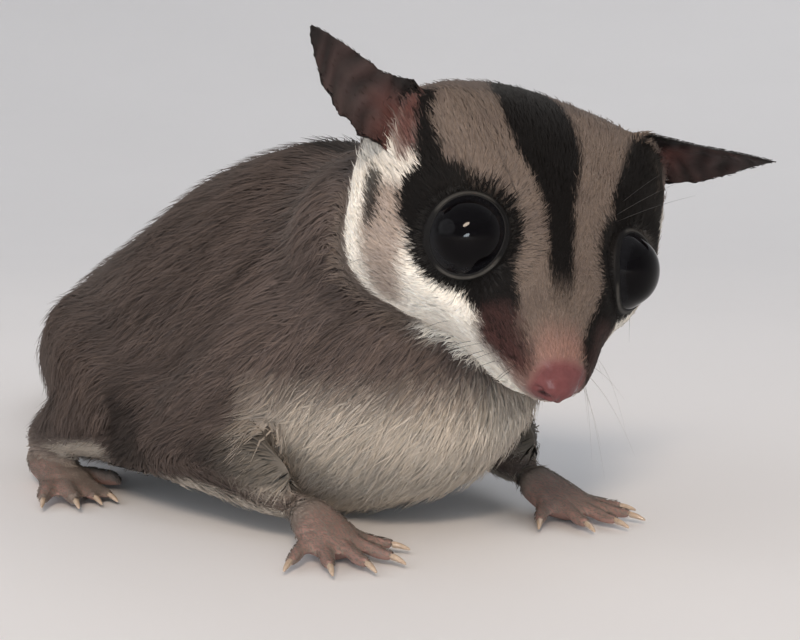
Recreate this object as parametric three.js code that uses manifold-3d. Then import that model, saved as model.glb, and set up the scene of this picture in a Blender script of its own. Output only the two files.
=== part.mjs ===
// A life-size sugar glider crouching on its belly, its head lowered and turned a little to its right.
// Millimetres. +X is the way the body faces, +Y is its left and +Z is up; it rests on z = 0.
// Every surface stands where the tips of the coat are.

import * as THREE from 'three';
import { mergeVertices } from 'three/addons/utils/BufferGeometryUtils.js';
import Module from 'manifold-3d';

const wasm = await Module();
wasm.setup();

// Driving dimensions
const GAP = 0.3;
const EYE_HEIGHT = 36;
const EYES_AHEAD = 50;
const HEAD_YAW = -18;
const HEAD_PITCH = 33.8;
const HEAD_ROLL = -15;
const EYE_RADIUS = 4.9;
const EYE_PLACE = [1.4, 9.9, 1];
const NOSE_PLACE = [16.6, 0, -6];
const NOSE_HALF_SIZES = [1.5, 2.3, 1.7];
const EAR_WIDTH = 10.2;
const EAR_THICKNESS = 1.1;
const EAR_CUP = 2.2;
const EAR_ROOT_DEPTH = 3;
const EAR_WIDEST = 0.72;
const EAR_FULLNESS = 0.7;
const EAR_UPPER_CUT = 0.47;
const EAR_CUT_SPAN = [0.27, 0.48];
const CLAW_LENGTH = 3.4;
const CLAW_RADIUS = 0.5;
const CLAW_DEPTH = 1;
const DIGIT_DEPTH = 1.2;
const TAIL_CUTS = [0.3, 0.5, 0.7];
const TAIL_CUT_SIZE = 24;
const FLOOR_SIZE = 500;
const PATH_STEPS = 60;

// How finely each shape is divided: sides round it and rings along it
const FINENESS = {
  head: { sides: 26, rings: 18 },
  jaw: { sides: 10, rings: 8 },
  nose: { sides: 12, rings: 8 },
  eye: { sides: 14, rings: 9 },
  ear: { sides: 12, rings: 10 },
  trunk: { sides: 26, rings: 15 },
  neck: { sides: 18, rings: 7 },
  limb: { sides: 10, rings: 7 },
  membrane: { sides: 8, rings: 7 },
  palm: { sides: 10, rings: 6 },
  digit: { sides: 6, rings: 5 },
  claw: { sides: 5, rings: 4 },
  tail: { sides: 12, rings: 24 },
};

// Sections along the middle plane: [ahead, height of the middle, half width, reach above, reach below].
// The first and the last are the rounded ends.
const HEAD_SECTIONS = [
  [-23, -1, 0, 0, 0],
  [-19, 0, 15.5, 10.3, 12.5],
  [-12, -0.5, 18.6, 12.2, 14],
  [-5, -1, 18.2, 11.5, 13.5],
  [2, -2, 14.6, 8.6, 11.5],
  [8, -4, 8.8, 5.6, 7],
  [13, -5, 5.5, 4, 4.6],
  [16, -6, 3.6, 2.7, 3.2],
  [17.3, -6.3, 0, 0, 0],
];
const JAW_SECTIONS = [
  [-9, -12.5, 0, 0, 0],
  [-6, -12, 6.4, 3.5, 3.6],
  [2, -11.2, 5.2, 3, 3],
  [9, -10.3, 3.6, 2, 2.2],
  [13.4, -9.9, 0, 0, 0],
];
const TRUNK_SECTIONS = [
  [-61, 12.8, 0, 0, 0],
  [-57, 13, 8.6, 7.6, 9.4],
  [-50, 14.8, 14, 10.6, 12.8],
  [-38, 17, 21.5, 15.2, 17.6],
  [-20, 18, 25.5, 21, 18.6],
  [-3, 20, 25.5, 27, 20.6],
  [14, 22, 22.5, 28, 22.6],
  [27, 26, 18.5, 22.5, 21],
  [36, 29, 14, 15, 17],
  [42, 31, 0, 0, 0],
];
const NECK_SECTIONS = [
  [16, 31, 0, 0, 0],
  [22, 33, 17, 15, 16],
  [31, 36, 17.8, 14, 16.2],
  [39, 38.5, 16.6, 12, 14.6],
  [45, 40, 0, 0, 0],
];

// Round sections of the limbs: [ahead, out from the middle plane, height, radius]
const UPPER_ARM = [
  [25, 8, 28, 0],
  [22, 12.5, 25, 9],
  [14, 18, 17.5, 7.5],
  [6, 22, 12, 5.4],
  [3, 23.5, 10.5, 0],
];
const FOREARM = [
  [2, 23, 10.5, 0],
  [5, 22.8, 10, 4.8],
  [14, 20.5, 8, 4.2],
  [23, 18.5, 5.8, 3.2],
  [29, 17.5, 4.4, 0],
];
const THIGH = [
  [-40, 8, 18, 0],
  [-33, 13, 18.5, 10.5],
  [-21, 18.5, 17.5, 11.5],
  [-9, 23.5, 14, 7],
  [-3, 25.5, 12, 0],
];
const SHANK = [
  [-3, 25, 11.5, 0],
  [-6, 25.3, 11.4, 4.9],
  [-16, 26.5, 9.8, 4.4],
  [-26, 27, 6.8, 3.5],
  [-30, 27, 5.4, 0],
];

// The gliding membrane, folded against the flank: [ahead, out, height, half thickness, half depth]
const MEMBRANE = [
  [29, 18.5, 8, 0, 0],
  [22, 20.5, 10, 2.6, 4.5],
  [8, 24, 11, 3, 6.5],
  [-8, 25.5, 11.5, 3, 7],
  [-24, 25.5, 11, 3, 6],
  [-33, 25.5, 9, 0, 0],
];

// The tail on the floor: [ahead, out to the left, height, radius]
const TAIL = [
  [-44, 0, 15, 0],
  [-50, 0, 13.5, 7.5],
  [-64, 1, 10, 8.4],
  [-86, 8, 8.7, 9],
  [-108, 27, 8.8, 9],
  [-117, 55, 8.3, 8.5],
  [-107, 83, 7.1, 7.3],
  [-88, 98, 5.2, 5.4],
  [-76, 103, 3.5, 3.2],
  [-72, 104, 3, 0],
];

// Paws in their own frame, from wrist or heel towards the toes, with the sections of the middle plane
const HAND_PALM = [
  [-4, 4.6, 0, 0, 0],
  [-1.5, 4, 2.9, 2.6, 2.6],
  [2.5, 2.6, 4, 2.2, 2.7],
  [5.8, 1.9, 3.6, 1.5, 2.1],
  [7.4, 1.6, 0, 0, 0],
];
const FOOT_SOLE = [
  [-3, 4.2, 0, 0, 0],
  [0, 3.4, 2.7, 2.8, 3.6],
  [6, 2.5, 3, 2.3, 2.7],
  [12, 2, 4, 1.8, 2.2],
  [15.5, 1.7, 0, 0, 0],
];

// Digits: where they start (ahead, outwards), heading outwards in degrees, length and radius
const HAND_DIGITS = [
  { from: [2.6, -3], heading: -52, length: 5, radius: 1, clawed: true },
  { from: [5.2, -2], heading: -20, length: 5.8, radius: 1, clawed: true },
  { from: [5.8, 0], heading: 0, length: 6.2, radius: 1, clawed: true },
  { from: [5.2, 2], heading: 20, length: 6, radius: 1, clawed: true },
  { from: [3.2, 3.2], heading: 46, length: 5.2, radius: 1, clawed: true },
];
const FOOT_DIGITS = [
  { from: [8, -2.6], heading: -62, length: 6.4, radius: 1.3, clawed: false },
  { from: [13, -2.4], heading: -14, length: 5.6, radius: 0.9, clawed: true },
  { from: [13.4, -0.9], heading: -7, length: 5.8, radius: 0.9, clawed: true },
  { from: [13.4, 1.1], heading: 4, length: 7.8, radius: 1.15, clawed: true },
  { from: [12.4, 3], heading: 20, length: 6.6, radius: 1.15, clawed: true },
];

// Shares of a digit's length and radius: [how far along, section's radius]; and the same for a claw,
// with its middle's height over the digit's, in millimetres
const DIGIT_PROFILE = [[0, 1.05], [0.5, 1], [0.82, 1.12], [1, 0]];
const CLAW_PROFILE = [[0, 0.3, 0], [0.25, 0.35, 1], [0.6, 0.15, 0.9], [0.9, -0.2, 0.6], [1, -0.45, 0]];

const PAWS = [
  { name: 'hand', side: 'left', wrist: [31, 17.6], heading: 8 },
  { name: 'hand', side: 'right', wrist: [31, -17.6], heading: -4 },
  { name: 'foot', side: 'left', wrist: [-27, 27.2], heading: 8 },
  { name: 'foot', side: 'right', wrist: [-27, -27.2], heading: -8 },
];

// Ears in the head's frame; the hollow side looks towards `facing` at the root and `tipFacing` at the tip,
// and `lower` is the sign of the side of the ear that its lower edge is on
const EARS = {
  left: {
    root: [-12.8, 14.6, 10.1],
    tip: [-5.3, 27.4, 16.4],
    facing: [0.86, -0.31, -0.34],
    tipFacing: [0.75, 0.13, -0.65],
    lower: -1,
  },
  right: {
    root: [-9.8, -16.3, 6.2],
    tip: [-17.9, -29.5, 11.9],
    facing: [0.57, -0.16, 0.67],
    tipFacing: [0.71, -0.58, 0],
    lower: 1,
  },
};

// Swellings of the head on both sides: where, how far they reach and how high they stand
const HEAD_SWELLINGS = [
  { name: 'whisker pad', at: [11.5, 4.4, -6.5], reach: 3, push: 0.9 },
  { name: 'cheek', at: [-4, 14.5, -10], reach: 8, push: 4.6 },
  { name: 'brow', at: [-1, 8, 7], reach: 5, push: 0.8 },
  { name: 'ear root', at: [-11, 13, 9.5], reach: 7, push: 4.1 },
  { name: 'eye socket', at: [4.5, 14, 3], reach: 5, push: -1.6 },
];

// Finishes
const finish = (color, roughness) => new THREE.MeshStandardMaterial({ color, roughness, metalness: 0 });
const GREY_FUR = finish('#5e534e', 0.9);
const PALE_FUR = finish('#d7cfc2', 0.9);
const DARK_FUR = finish('#2d2824', 0.9);
const EAR_SKIN = finish('#4e3c3b', 0.6);
const PINK_SKIN = finish('#85585a', 0.5);
const PAW_SKIN = finish('#9a7a72', 0.6);
const EYE_BLACK = finish('#0e0c0f', 0.05);
const CLAW_HORN = finish('#c9b7a4', 0.4);

const UP = new THREE.Vector3(0, 0, 1);
const AHEAD = new THREE.Vector3(1, 0, 0);

// Keeps only the places of a geometry's corners and joins those that meet
function welded(geometry) {
  geometry.deleteAttribute('normal');
  geometry.deleteAttribute('uv');
  return mergeVertices(geometry, 1e-4);
}

// Moves a unit sphere's corners: `place` gets the way along (0 to 1) and the two parts of the way round
function shapedSphere({ sides, rings }, place) {
  const geometry = new THREE.SphereGeometry(1, sides, rings);
  const corners = geometry.attributes.position;
  for (let i = 0; i < corners.count; i += 1) {
    const height = THREE.MathUtils.clamp(corners.getY(i), -1, 1);
    const reach = Math.hypot(corners.getX(i), corners.getZ(i)) || 1;
    const point = place((1 - height) / 2, corners.getX(i) / reach, corners.getZ(i) / reach);
    corners.setXYZ(i, point.x, point.y, point.z);
  }
  return welded(geometry);
}

// Lofts round sections along a smooth path. A section is { at, wide, over, under }.
// A swelling is { at, reach, push } and lifts the surface near it.
function loft(sections, fineness, swellings = []) {
  const path = new THREE.CatmullRomCurve3(sections.map((section) => section.at), false, 'catmullrom');
  const squares = sections.map(({ wide, over, under }) => (
    new THREE.Vector3(wide ** 2, over ** 2, under ** 2)
  ));
  const girth = new THREE.CatmullRomCurve3(squares, false, 'catmullrom');
  return shapedSphere(fineness, (along, round, lift) => {
    const middle = path.getPoint(along);
    const ahead = path.getTangent(along);
    const left = new THREE.Vector3().crossVectors(UP, ahead).normalize();
    const above = new THREE.Vector3().crossVectors(ahead, left);
    const size = girth.getPoint(along);
    const wide = Math.sqrt(Math.max(size.x, 0));
    const high = Math.sqrt(Math.max(lift > 0 ? size.y : size.z, 0));
    const outward = left.multiplyScalar(wide * round).add(above.multiplyScalar(high * lift));
    const point = middle.clone().add(outward);
    outward.normalize();
    for (const { at, reach, push } of swellings) {
      point.addScaledVector(outward, push * Math.exp(-point.distanceToSquared(at) / reach ** 2));
    }
    return point;
  });
}

// Sections of a loft in the plane of symmetry, from the tables above
const midline = (table) => table.map(([x, z, wide, over, under]) => (
  { at: new THREE.Vector3(x, 0, z), wide, over, under }
));

// Round sections from [x, y, z, radius] rows, on the left (side 1) or right (side -1) of the body
const rounds = (side, rows) => rows.map(([x, y, z, radius]) => (
  { at: new THREE.Vector3(x, side * y, z), wide: radius, over: radius, under: radius }
));

// The same swelling on both sides of the middle plane
const both = ({ at: [x, y, z], reach, push }) => [-1, 1].map((side) => (
  { at: new THREE.Vector3(x, side * y, z), reach, push }
));

function solid(geometry) {
  const vertProperties = new Float32Array(geometry.attributes.position.array);
  const triVerts = new Uint32Array(geometry.index.array);
  return new wasm.Manifold(new wasm.Mesh({ numProp: 3, vertProperties, triVerts }));
}

// The solid of a shape with its surface moved outwards by the gap that neighbours keep
function clearance(geometry) {
  const wider = geometry.clone();
  wider.computeVertexNormals();
  const { position, normal } = wider.attributes;
  for (let i = 0; i < position.count; i += 1) {
    position.setXYZ(
      i,
      position.getX(i) + GAP * normal.getX(i),
      position.getY(i) + GAP * normal.getY(i),
      position.getZ(i) + GAP * normal.getZ(i),
    );
  }
  return solid(wider);
}

// Cuts a solid by its neighbours and the floor, and keeps the largest piece
function cut(start, neighbours, below = null) {
  const tools = neighbours.map(clearance);
  if (below) {
    tools.push(solid(below));
  }
  const pieces = tools.reduce((left, tool) => left.subtract(tool), start).decompose();
  return pieces.reduce((largest, piece) => (piece.volume() > largest.volume() ? piece : largest));
}

function meshOf(name, body, material) {
  const { vertProperties, triVerts } = body.getMesh();
  const geometry = new THREE.BufferGeometry();
  geometry.setAttribute('position', new THREE.BufferAttribute(vertProperties, 3));
  geometry.setIndex(new THREE.BufferAttribute(triVerts, 1));
  geometry.computeVertexNormals();
  const mesh = new THREE.Mesh(geometry, material);
  mesh.name = name;
  return mesh;
}

// A block whose top is the floor
function floorBlock() {
  const block = new THREE.BoxGeometry(FLOOR_SIZE, FLOOR_SIZE, FLOOR_SIZE);
  block.translate(0, 0, -FLOOR_SIZE / 2);
  return welded(block);
}

const floor = floorBlock();
const glider = new THREE.Group();

// Head
const headGroup = new THREE.Group();
headGroup.position.set(EYES_AHEAD, 0, EYE_HEIGHT);
headGroup.rotation.set(
  THREE.MathUtils.degToRad(HEAD_ROLL),
  THREE.MathUtils.degToRad(HEAD_PITCH),
  THREE.MathUtils.degToRad(HEAD_YAW),
  'ZYX',
);
glider.add(headGroup);
headGroup.updateMatrixWorld(true);

const swellings = HEAD_SWELLINGS.flatMap(both);
const headShape = loft(midline(HEAD_SECTIONS), FINENESS.head, swellings);
const jawShape = loft(midline(JAW_SECTIONS), FINENESS.jaw);

const noseShape = shapedSphere(FINENESS.nose, (along, round, lift) => {
  const reach = 2 * Math.sqrt(along * (1 - along));
  const onBall = new THREE.Vector3(2 * along - 1, reach * round, reach * lift);
  return onBall.multiply(new THREE.Vector3(...NOSE_HALF_SIZES)).add(new THREE.Vector3(...NOSE_PLACE));
});

function eyeShape(side) {
  const [ahead, out, up] = EYE_PLACE;
  const ball = new THREE.SphereGeometry(EYE_RADIUS, FINENESS.eye.sides, FINENESS.eye.rings);
  ball.translate(ahead, side * out, up);
  return welded(ball);
}

// A leaf-shaped, hollowed ear that twists a little from its root to its tip; its upper half is narrower
function earShape({ root, tip, facing, tipFacing, lower }) {
  const stem = new THREE.Vector3(...root);
  const axis = new THREE.Vector3(...tip).sub(stem);
  const length = axis.length() + EAR_ROOT_DEPTH;
  axis.normalize();
  return shapedSphere(FINENESS.ear, (along, round, lift) => {
    const front = new THREE.Vector3(...facing).lerp(new THREE.Vector3(...tipFacing), along);
    front.addScaledVector(axis, -front.dot(axis)).normalize();
    const across = new THREE.Vector3().crossVectors(front, axis);
    const leaf = Math.sin(Math.PI * along ** EAR_WIDEST) ** EAR_FULLNESS;
    const cut = round * lower < 0 ? EAR_UPPER_CUT * THREE.MathUtils.smoothstep(along, ...EAR_CUT_SPAN) : 0;
    const sideways = (EAR_WIDTH / 2) * leaf * round * (1 - cut);
    const dip = EAR_CUP * (2 * sideways / EAR_WIDTH) ** 2;
    const skin = (EAR_THICKNESS / 2) * Math.sqrt(Math.sin(Math.PI * along)) * lift;
    return stem.clone()
      .addScaledVector(axis, length * along - EAR_ROOT_DEPTH)
      .addScaledVector(across, sideways)
      .addScaledVector(front, dip + skin);
  });
}

const eyes = { left: eyeShape(1), right: eyeShape(-1) };
const headParts = [eyes.left, eyes.right, noseShape, jawShape];
headGroup.add(meshOf('head', cut(solid(headShape), headParts), GREY_FUR));
headGroup.add(meshOf('jaw', solid(jawShape), PALE_FUR));
headGroup.add(meshOf('nose', solid(noseShape), PINK_SKIN));
for (const side of ['left', 'right']) {
  headGroup.add(meshOf(`eye_${side}`, solid(eyes[side]), EYE_BLACK));
  headGroup.add(meshOf(`ear_${side}`, cut(solid(earShape(EARS[side])), [headShape]), EAR_SKIN));
}

// Trunk and neck
const inBody = (geometry, group) => geometry.clone().applyMatrix4(group.matrixWorld);
const headInBody = inBody(headShape, headGroup);
const jawInBody = inBody(jawShape, headGroup);
const trunkShape = loft(midline(TRUNK_SECTIONS), FINENESS.trunk);
const neckShape = loft(midline(NECK_SECTIONS), FINENESS.neck);
glider.add(meshOf('trunk', cut(solid(trunkShape), [headInBody, jawInBody], floor), GREY_FUR));
glider.add(meshOf('neck', cut(solid(neckShape), [headInBody, jawInBody, trunkShape]), GREY_FUR));

// A round section on a digit's line, a distance from where the digit starts
function onDigit({ from, heading }, side, distance, height, radius) {
  const angle = side * THREE.MathUtils.degToRad(heading);
  const x = from[0] + distance * Math.cos(angle);
  const y = side * from[1] + distance * Math.sin(angle);
  return { at: new THREE.Vector3(x, y, height), wide: radius, over: radius, under: radius };
}

// A digit runs down from inside the palm until it lies on the floor
function digitSections(digit, side) {
  const { length, radius } = digit;
  const knuckle = radius + 0.9;
  const root = onDigit(digit, side, -DIGIT_DEPTH, knuckle, 0);
  return [root, ...DIGIT_PROFILE.map(([share, size]) => (
    onDigit(digit, side, Math.max(share * length, 0.4), share > 0.5 ? radius : knuckle, size * radius)
  ))];
}

function clawSections(digit, side) {
  const start = digit.length - CLAW_DEPTH;
  return CLAW_PROFILE.map(([share, rise, size]) => (
    onDigit(digit, side, start + share * CLAW_LENGTH, digit.radius + rise, size * CLAW_RADIUS)
  ));
}

// A paw and its claws, in a frame whose origin is on the floor below the wrist or heel
function addPaw({ name, side, wrist, heading }, palmSections, digits, limb) {
  const sign = side === 'left' ? 1 : -1;
  const group = new THREE.Group();
  group.position.set(...wrist, 0);
  group.rotation.z = THREE.MathUtils.degToRad(heading);
  glider.add(group);
  group.updateMatrixWorld(true);
  const limbHere = limb.clone().applyMatrix4(group.matrixWorld.clone().invert());
  const palm = loft(midline(palmSections), FINENESS.palm);
  const fingers = digits.map((digit) => loft(digitSections(digit, sign), FINENESS.digit));
  const whole = fingers.reduce((body, finger) => body.add(solid(finger)), solid(palm));
  group.add(meshOf(`${name}_${side}`, cut(whole, [limbHere], floor), PAW_SKIN));
  digits.forEach((digit, index) => {
    if (digit.clawed) {
      const claw = cut(solid(loft(clawSections(digit, sign), FINENESS.claw)), [fingers[index], palm]);
      group.add(meshOf(`claw_${name}_${side}_${index + 1}`, claw, CLAW_HORN));
    }
  });
}

// Limbs and membrane
const PALMS = { hand: HAND_PALM, foot: FOOT_SOLE };
const DIGITS = { hand: HAND_DIGITS, foot: FOOT_DIGITS };
for (const side of ['left', 'right']) {
  const sign = side === 'left' ? 1 : -1;
  const limb = (rows) => loft(rounds(sign, rows), FINENESS.limb);
  const upperArm = limb(UPPER_ARM);
  const forearm = limb(FOREARM);
  const thigh = limb(THIGH);
  const shank = limb(SHANK);
  const membraneSections = MEMBRANE.map(([x, y, z, wide, deep]) => (
    { at: new THREE.Vector3(x, sign * y, z), wide, over: deep, under: deep }
  ));
  const membrane = loft(membraneSections, FINENESS.membrane);
  const body = [trunkShape, neckShape, headInBody, jawInBody];
  glider.add(meshOf(`upper_arm_${side}`, cut(solid(upperArm), body, floor), GREY_FUR));
  glider.add(meshOf(`forearm_${side}`, cut(solid(forearm), [...body, upperArm], floor), GREY_FUR));
  glider.add(meshOf(`thigh_${side}`, cut(solid(thigh), body, floor), GREY_FUR));
  glider.add(meshOf(`shank_${side}`, cut(solid(shank), [...body, thigh], floor), GREY_FUR));
  const limbs = [upperArm, forearm, thigh, shank];
  glider.add(meshOf(`membrane_${side}`, cut(solid(membrane), [...body, ...limbs], floor), DARK_FUR));
  for (const paw of PAWS.filter((entry) => entry.side === side)) {
    addPaw(paw, PALMS[paw.name], DIGITS[paw.name], paw.name === 'hand' ? forearm : shank);
  }
}

// Tail, parted by thin cuts
const tailSections = rounds(1, TAIL);
const tailShape = loft(tailSections, FINENESS.tail);
const tailPath = new THREE.CatmullRomCurve3(tailSections.map((section) => section.at), false, 'catmullrom');

function slab(along) {
  const block = new THREE.BoxGeometry(GAP, TAIL_CUT_SIZE, TAIL_CUT_SIZE);
  const turn = new THREE.Quaternion().setFromUnitVectors(AHEAD, tailPath.getTangent(along));
  block.applyQuaternion(turn);
  block.translate(...tailPath.getPoint(along).toArray());
  return solid(welded(block));
}

// How far along the tail a piece lies
function placeAlong(piece) {
  const { min, max } = piece.boundingBox();
  const middle = new THREE.Vector3(...min).add(new THREE.Vector3(...max)).multiplyScalar(0.5);
  const places = tailPath.getPoints(PATH_STEPS).map((point) => point.distanceTo(middle));
  return places.indexOf(Math.min(...places));
}

const wholeTail = cut(solid(tailShape), [trunkShape], floor);
const tailLengths = TAIL_CUTS.reduce((tail, along) => tail.subtract(slab(along)), wholeTail).decompose();
tailLengths.sort((one, other) => placeAlong(one) - placeAlong(other));
tailLengths.forEach((piece, index) => {
  glider.add(meshOf(`tail_${index + 1}`, piece, GREY_FUR));
});

export default glider;
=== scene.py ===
import math

import bmesh
import bpy
import numpy as np
from bpy.props import FloatProperty, FloatVectorProperty, IntProperty, PointerProperty
from mathutils import Matrix, Quaternion, Vector
from mathutils.bvhtree import BVHTree
from mathutils.kdtree import KDTree


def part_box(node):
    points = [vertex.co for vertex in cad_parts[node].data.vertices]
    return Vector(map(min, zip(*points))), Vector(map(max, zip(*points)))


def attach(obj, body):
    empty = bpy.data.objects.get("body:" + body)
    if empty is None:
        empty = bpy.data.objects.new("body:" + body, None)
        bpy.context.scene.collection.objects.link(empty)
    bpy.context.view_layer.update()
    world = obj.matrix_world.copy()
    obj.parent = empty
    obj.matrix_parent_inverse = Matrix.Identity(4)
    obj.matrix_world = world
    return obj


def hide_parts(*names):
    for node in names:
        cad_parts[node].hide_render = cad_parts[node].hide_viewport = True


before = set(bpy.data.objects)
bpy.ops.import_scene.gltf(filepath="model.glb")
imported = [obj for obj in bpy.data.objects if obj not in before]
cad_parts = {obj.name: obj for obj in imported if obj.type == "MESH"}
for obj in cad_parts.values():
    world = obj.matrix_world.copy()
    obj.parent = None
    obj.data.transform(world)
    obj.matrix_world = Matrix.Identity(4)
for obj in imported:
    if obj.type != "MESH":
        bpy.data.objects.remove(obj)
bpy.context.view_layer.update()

bl_info = {
    "name": "Sugar glider",
    "version": (1, 0, 0),
    "blender": (4, 5, 0),
    "location": "View3D > Sidebar > Glider",
    "description": "Skin, coat, eyes, claws and whiskers of a life-size sugar glider",
    "category": "Object",
}

MM = 0.001
# One sample point on this much of the solids' surface
SAMPLE_AREA = 0.5 * MM * MM
SIDES = {"left": 1, "right": -1}
NODES = sorted(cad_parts)
FLESH = [name for name in NODES if not name.startswith(("eye_", "claw_"))]

# The head's own frame: ahead, left and up, from a point between the eyes
HEAD_ORIGIN = np.array((0.050, 0.0, 0.036))
HEAD_YAW, HEAD_PITCH, HEAD_ROLL = (math.radians(angle) for angle in (-18, 33.8, -15))
HEAD_TURN = np.array(
    Matrix.Rotation(HEAD_YAW, 3, "Z")
    @ Matrix.Rotation(HEAD_PITCH, 3, "Y")
    @ Matrix.Rotation(HEAD_ROLL, 3, "X")
)

# Each part's coat in millimetres: depth, tuft length, tuft width, tufts on a square millimetre of skin
COATS = {
    "head": (0.70, 2.4, 0.21, 16.0),
    "jaw": (0.45, 1.3, 0.19, 14.0),
    "nose": (0.0, 0.5, 0.1, 0.0),
    "ear": (0.10, 0.8, 0.12, 8.0),
    "neck": (1.7, 5.0, 0.27, 12.0),
    "trunk": (1.8, 5.8, 0.28, 11.0),
    "upper_arm": (1.4, 4.2, 0.28, 10.0),
    "forearm": (0.8, 2.5, 0.22, 10.0),
    "thigh": (1.6, 4.8, 0.29, 9.5),
    "shank": (0.8, 2.5, 0.22, 10.0),
    "membrane": (0.9, 3.6, 0.27, 10.0),
    "hand": (0.15, 0.8, 0.15, 13.0),
    "foot": (0.15, 0.8, 0.16, 13.0),
    "tail": (3.4, 8.6, 0.34, 10.5),
}
PARTS = list(COATS)
PART = {name: index for index, name in enumerate(PARTS)}

# Which way the coat lies on each part of the left side: ahead, outwards, up
LIE = {
    "neck": (-1, 0.2, -0.95),
    "trunk": (-1, 0.15, -0.85),
    "upper_arm": (-0.75, 0.5, -0.6),
    "forearm": (1, -0.15, -0.2),
    "thigh": (0.1, 0.5, -1),
    "shank": (-1, 0.1, -0.2),
    "membrane": (-1, 0.1, -0.6),
    "hand": (1, 0, -0.1),
    "foot": (1, 0, -0.1),
}

# The tail's midline from base to tip, in millimetres
TAIL_LINE = np.array([
    (-50, 0, 13.5), (-64, 1, 10), (-86, 8, 8.7), (-108, 27, 8.8), (-117, 55, 8.3),
    (-107, 83, 7.1), (-88, 98, 5.2), (-76, 103, 3.5), (-72, 104, 3),
])

# Points of its finer midline and the rounds that smooth it
TAIL_POINTS = 240
TAIL_ROUNDS = 120

# Ears in the head's frame, in millimetres
EAR_ROOTS = {"left": (-12.8, 14.6, 10.1), "right": (-9.8, -16.3, 6.2)}
EAR_TIPS = {"left": (-5.3, 27.4, 16.4), "right": (-17.9, -29.5, 11.9)}
EAR_FACINGS = {"left": (0.86, -0.31, -0.34), "right": (0.57, -0.16, 0.67)}
EAR_TIP_FACINGS = {"left": (0.75, 0.13, -0.65), "right": (0.71, -0.58, 0)}
# Which way across an ear its lower edge is
EAR_LOWER = {"left": -1, "right": 1}

# The eyes' axes in the head's frame
EYE_AXIS = (0.69, 0.46, 0.56)
# How far the skin lies below the eyeball inside the opening
SOCKET_DEPTH = 0.9 * MM
NOSE_TIP = np.array((17.0, 0.0, -6.0))
# Degrees from each eye's opening within which the skin is made finer, twice
EYE_REFINES = (30, 9)
# How far round the nose's tip the skin is made finer, in millimetres
NOSE_REACH = 4.5


def smoothstep(low, high, value):
    """Runs smoothly from 0 at low to 1 at high"""
    share = np.clip((value - low) / (high - low), 0.0, 1.0)
    return share * share * (3 - 2 * share)


def unit(vectors):
    """The same directions with length 1"""
    return vectors / np.maximum(np.linalg.norm(vectors, axis=-1, keepdims=True), 1e-12)


def to_head(points):
    """Millimetres in the head's frame of points in metres"""
    return (points - HEAD_ORIGIN) @ HEAD_TURN / MM


def from_head(vectors):
    """Directions of the head's frame in the body's frame"""
    return np.asarray(vectors, float) @ HEAD_TURN.T


def head_point(local):
    """A point in metres from millimetres in the head's frame"""
    return HEAD_ORIGIN + from_head(local) * MM


def mirrored(local):
    """Points with those of the right side moved to the left"""
    return np.stack((local[:, 0], np.abs(local[:, 1]), local[:, 2]), axis=1)


def box_middle(node):
    """The middle of a solid's box"""
    low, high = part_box(node)
    return np.array((low + high) / 2)


def eye_centre(side):
    """The middle of an eye's solid"""
    return box_middle(f"eye_{side}")


def eye_radius():
    """Half the height of an eye's solid"""
    low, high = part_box("eye_left")
    return (high.z - low.z) / 2


def eye_axis(side):
    """The way an eye looks"""
    ahead, out, up = EYE_AXIS
    return unit(from_head((ahead, SIDES[side] * out, up)))


def linear(colour):
    """A display colour of 0 to 1 as linear light"""
    colour = np.asarray(colour, float)
    return np.where(colour <= 0.04045, colour / 12.92, ((colour + 0.055) / 1.055) ** 2.4)


def colour(name):
    """One of the settings' colours"""
    return np.array(getattr(bpy.context.scene.glider_colours, name))


def colour_setting(name, description, display):
    """A colour in the settings, given as a display colour"""
    return FloatVectorProperty(
        name=name, description=description, subtype="COLOR", size=3, min=0, max=1,
        default=tuple(linear(display)),
    )


def length_setting(name, description, metres):
    """A length in the settings"""
    return FloatProperty(name=name, description=description, default=metres, min=0, unit="LENGTH")


class GliderColours(bpy.types.PropertyGroup):
    """Colours of the coat and the bare skin"""

    grey: colour_setting("Grey", "Back and flanks", (0.300, 0.262, 0.245))
    shoulder: colour_setting("Shoulder", "Neck and shoulders", (0.345, 0.303, 0.285))
    # The dark colour is also used for the painted shadows in the flank's creases
    dark: colour_setting("Dark", "Stripe, eye rings and ear bands", (0.055, 0.047, 0.045))
    band: colour_setting("Band", "Pale bands of the forehead", (0.42, 0.374, 0.343))
    cream: colour_setting("Cream", "Cheeks", (0.97, 0.945, 0.90))
    belly: colour_setting("Belly", "Throat and belly", (0.74, 0.70, 0.65))
    # Painted shade: colour of the darker strip painted on the pale cheek
    painted_cheek_shade: colour_setting("Cheek edge", "Shaded part of the pale cheek", (0.55, 0.48, 0.44))
    muzzle: colour_setting("Muzzle", "Whisker pads", (0.31, 0.21, 0.20))
    pink: colour_setting("Pink", "Bare skin of the bridge", (0.54, 0.42, 0.385))
    nose: colour_setting("Nose", "Bare pad of the nose", (0.41, 0.245, 0.247))
    # Painted shade: dark colour inside the nostril openings
    painted_nostril_shade: colour_setting("Nostril", "Inside the nostrils", (0.17, 0.07, 0.08))
    ear_dark: colour_setting("Ear", "Tip and outer rim of the ears", (0.09, 0.073, 0.07))
    ear_fold: colour_setting("Ear folds", "Cross folds of the ears", (0.215, 0.16, 0.153))
    ear_pink: colour_setting("Ear root", "Hollow of the ears", (0.36, 0.225, 0.205))
    lid: colour_setting("Lid", "Bare rims of the eyes", (0.035, 0.032, 0.034))
    # Painted highlight: pale glints along the moist edges of the lids
    painted_lid_glint: colour_setting("Lid edge", "Moist edges of the lids", (0.42, 0.41, 0.39))
    paw: colour_setting("Paw", "Bare skin of hands and feet", (0.60, 0.47, 0.44))
    paw_fur: colour_setting("Paw fur", "Short fur of hands and feet", (0.50, 0.455, 0.425))
    tail_tip: colour_setting("Tail tip", "Last third of the tail", (0.13, 0.115, 0.11))


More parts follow.
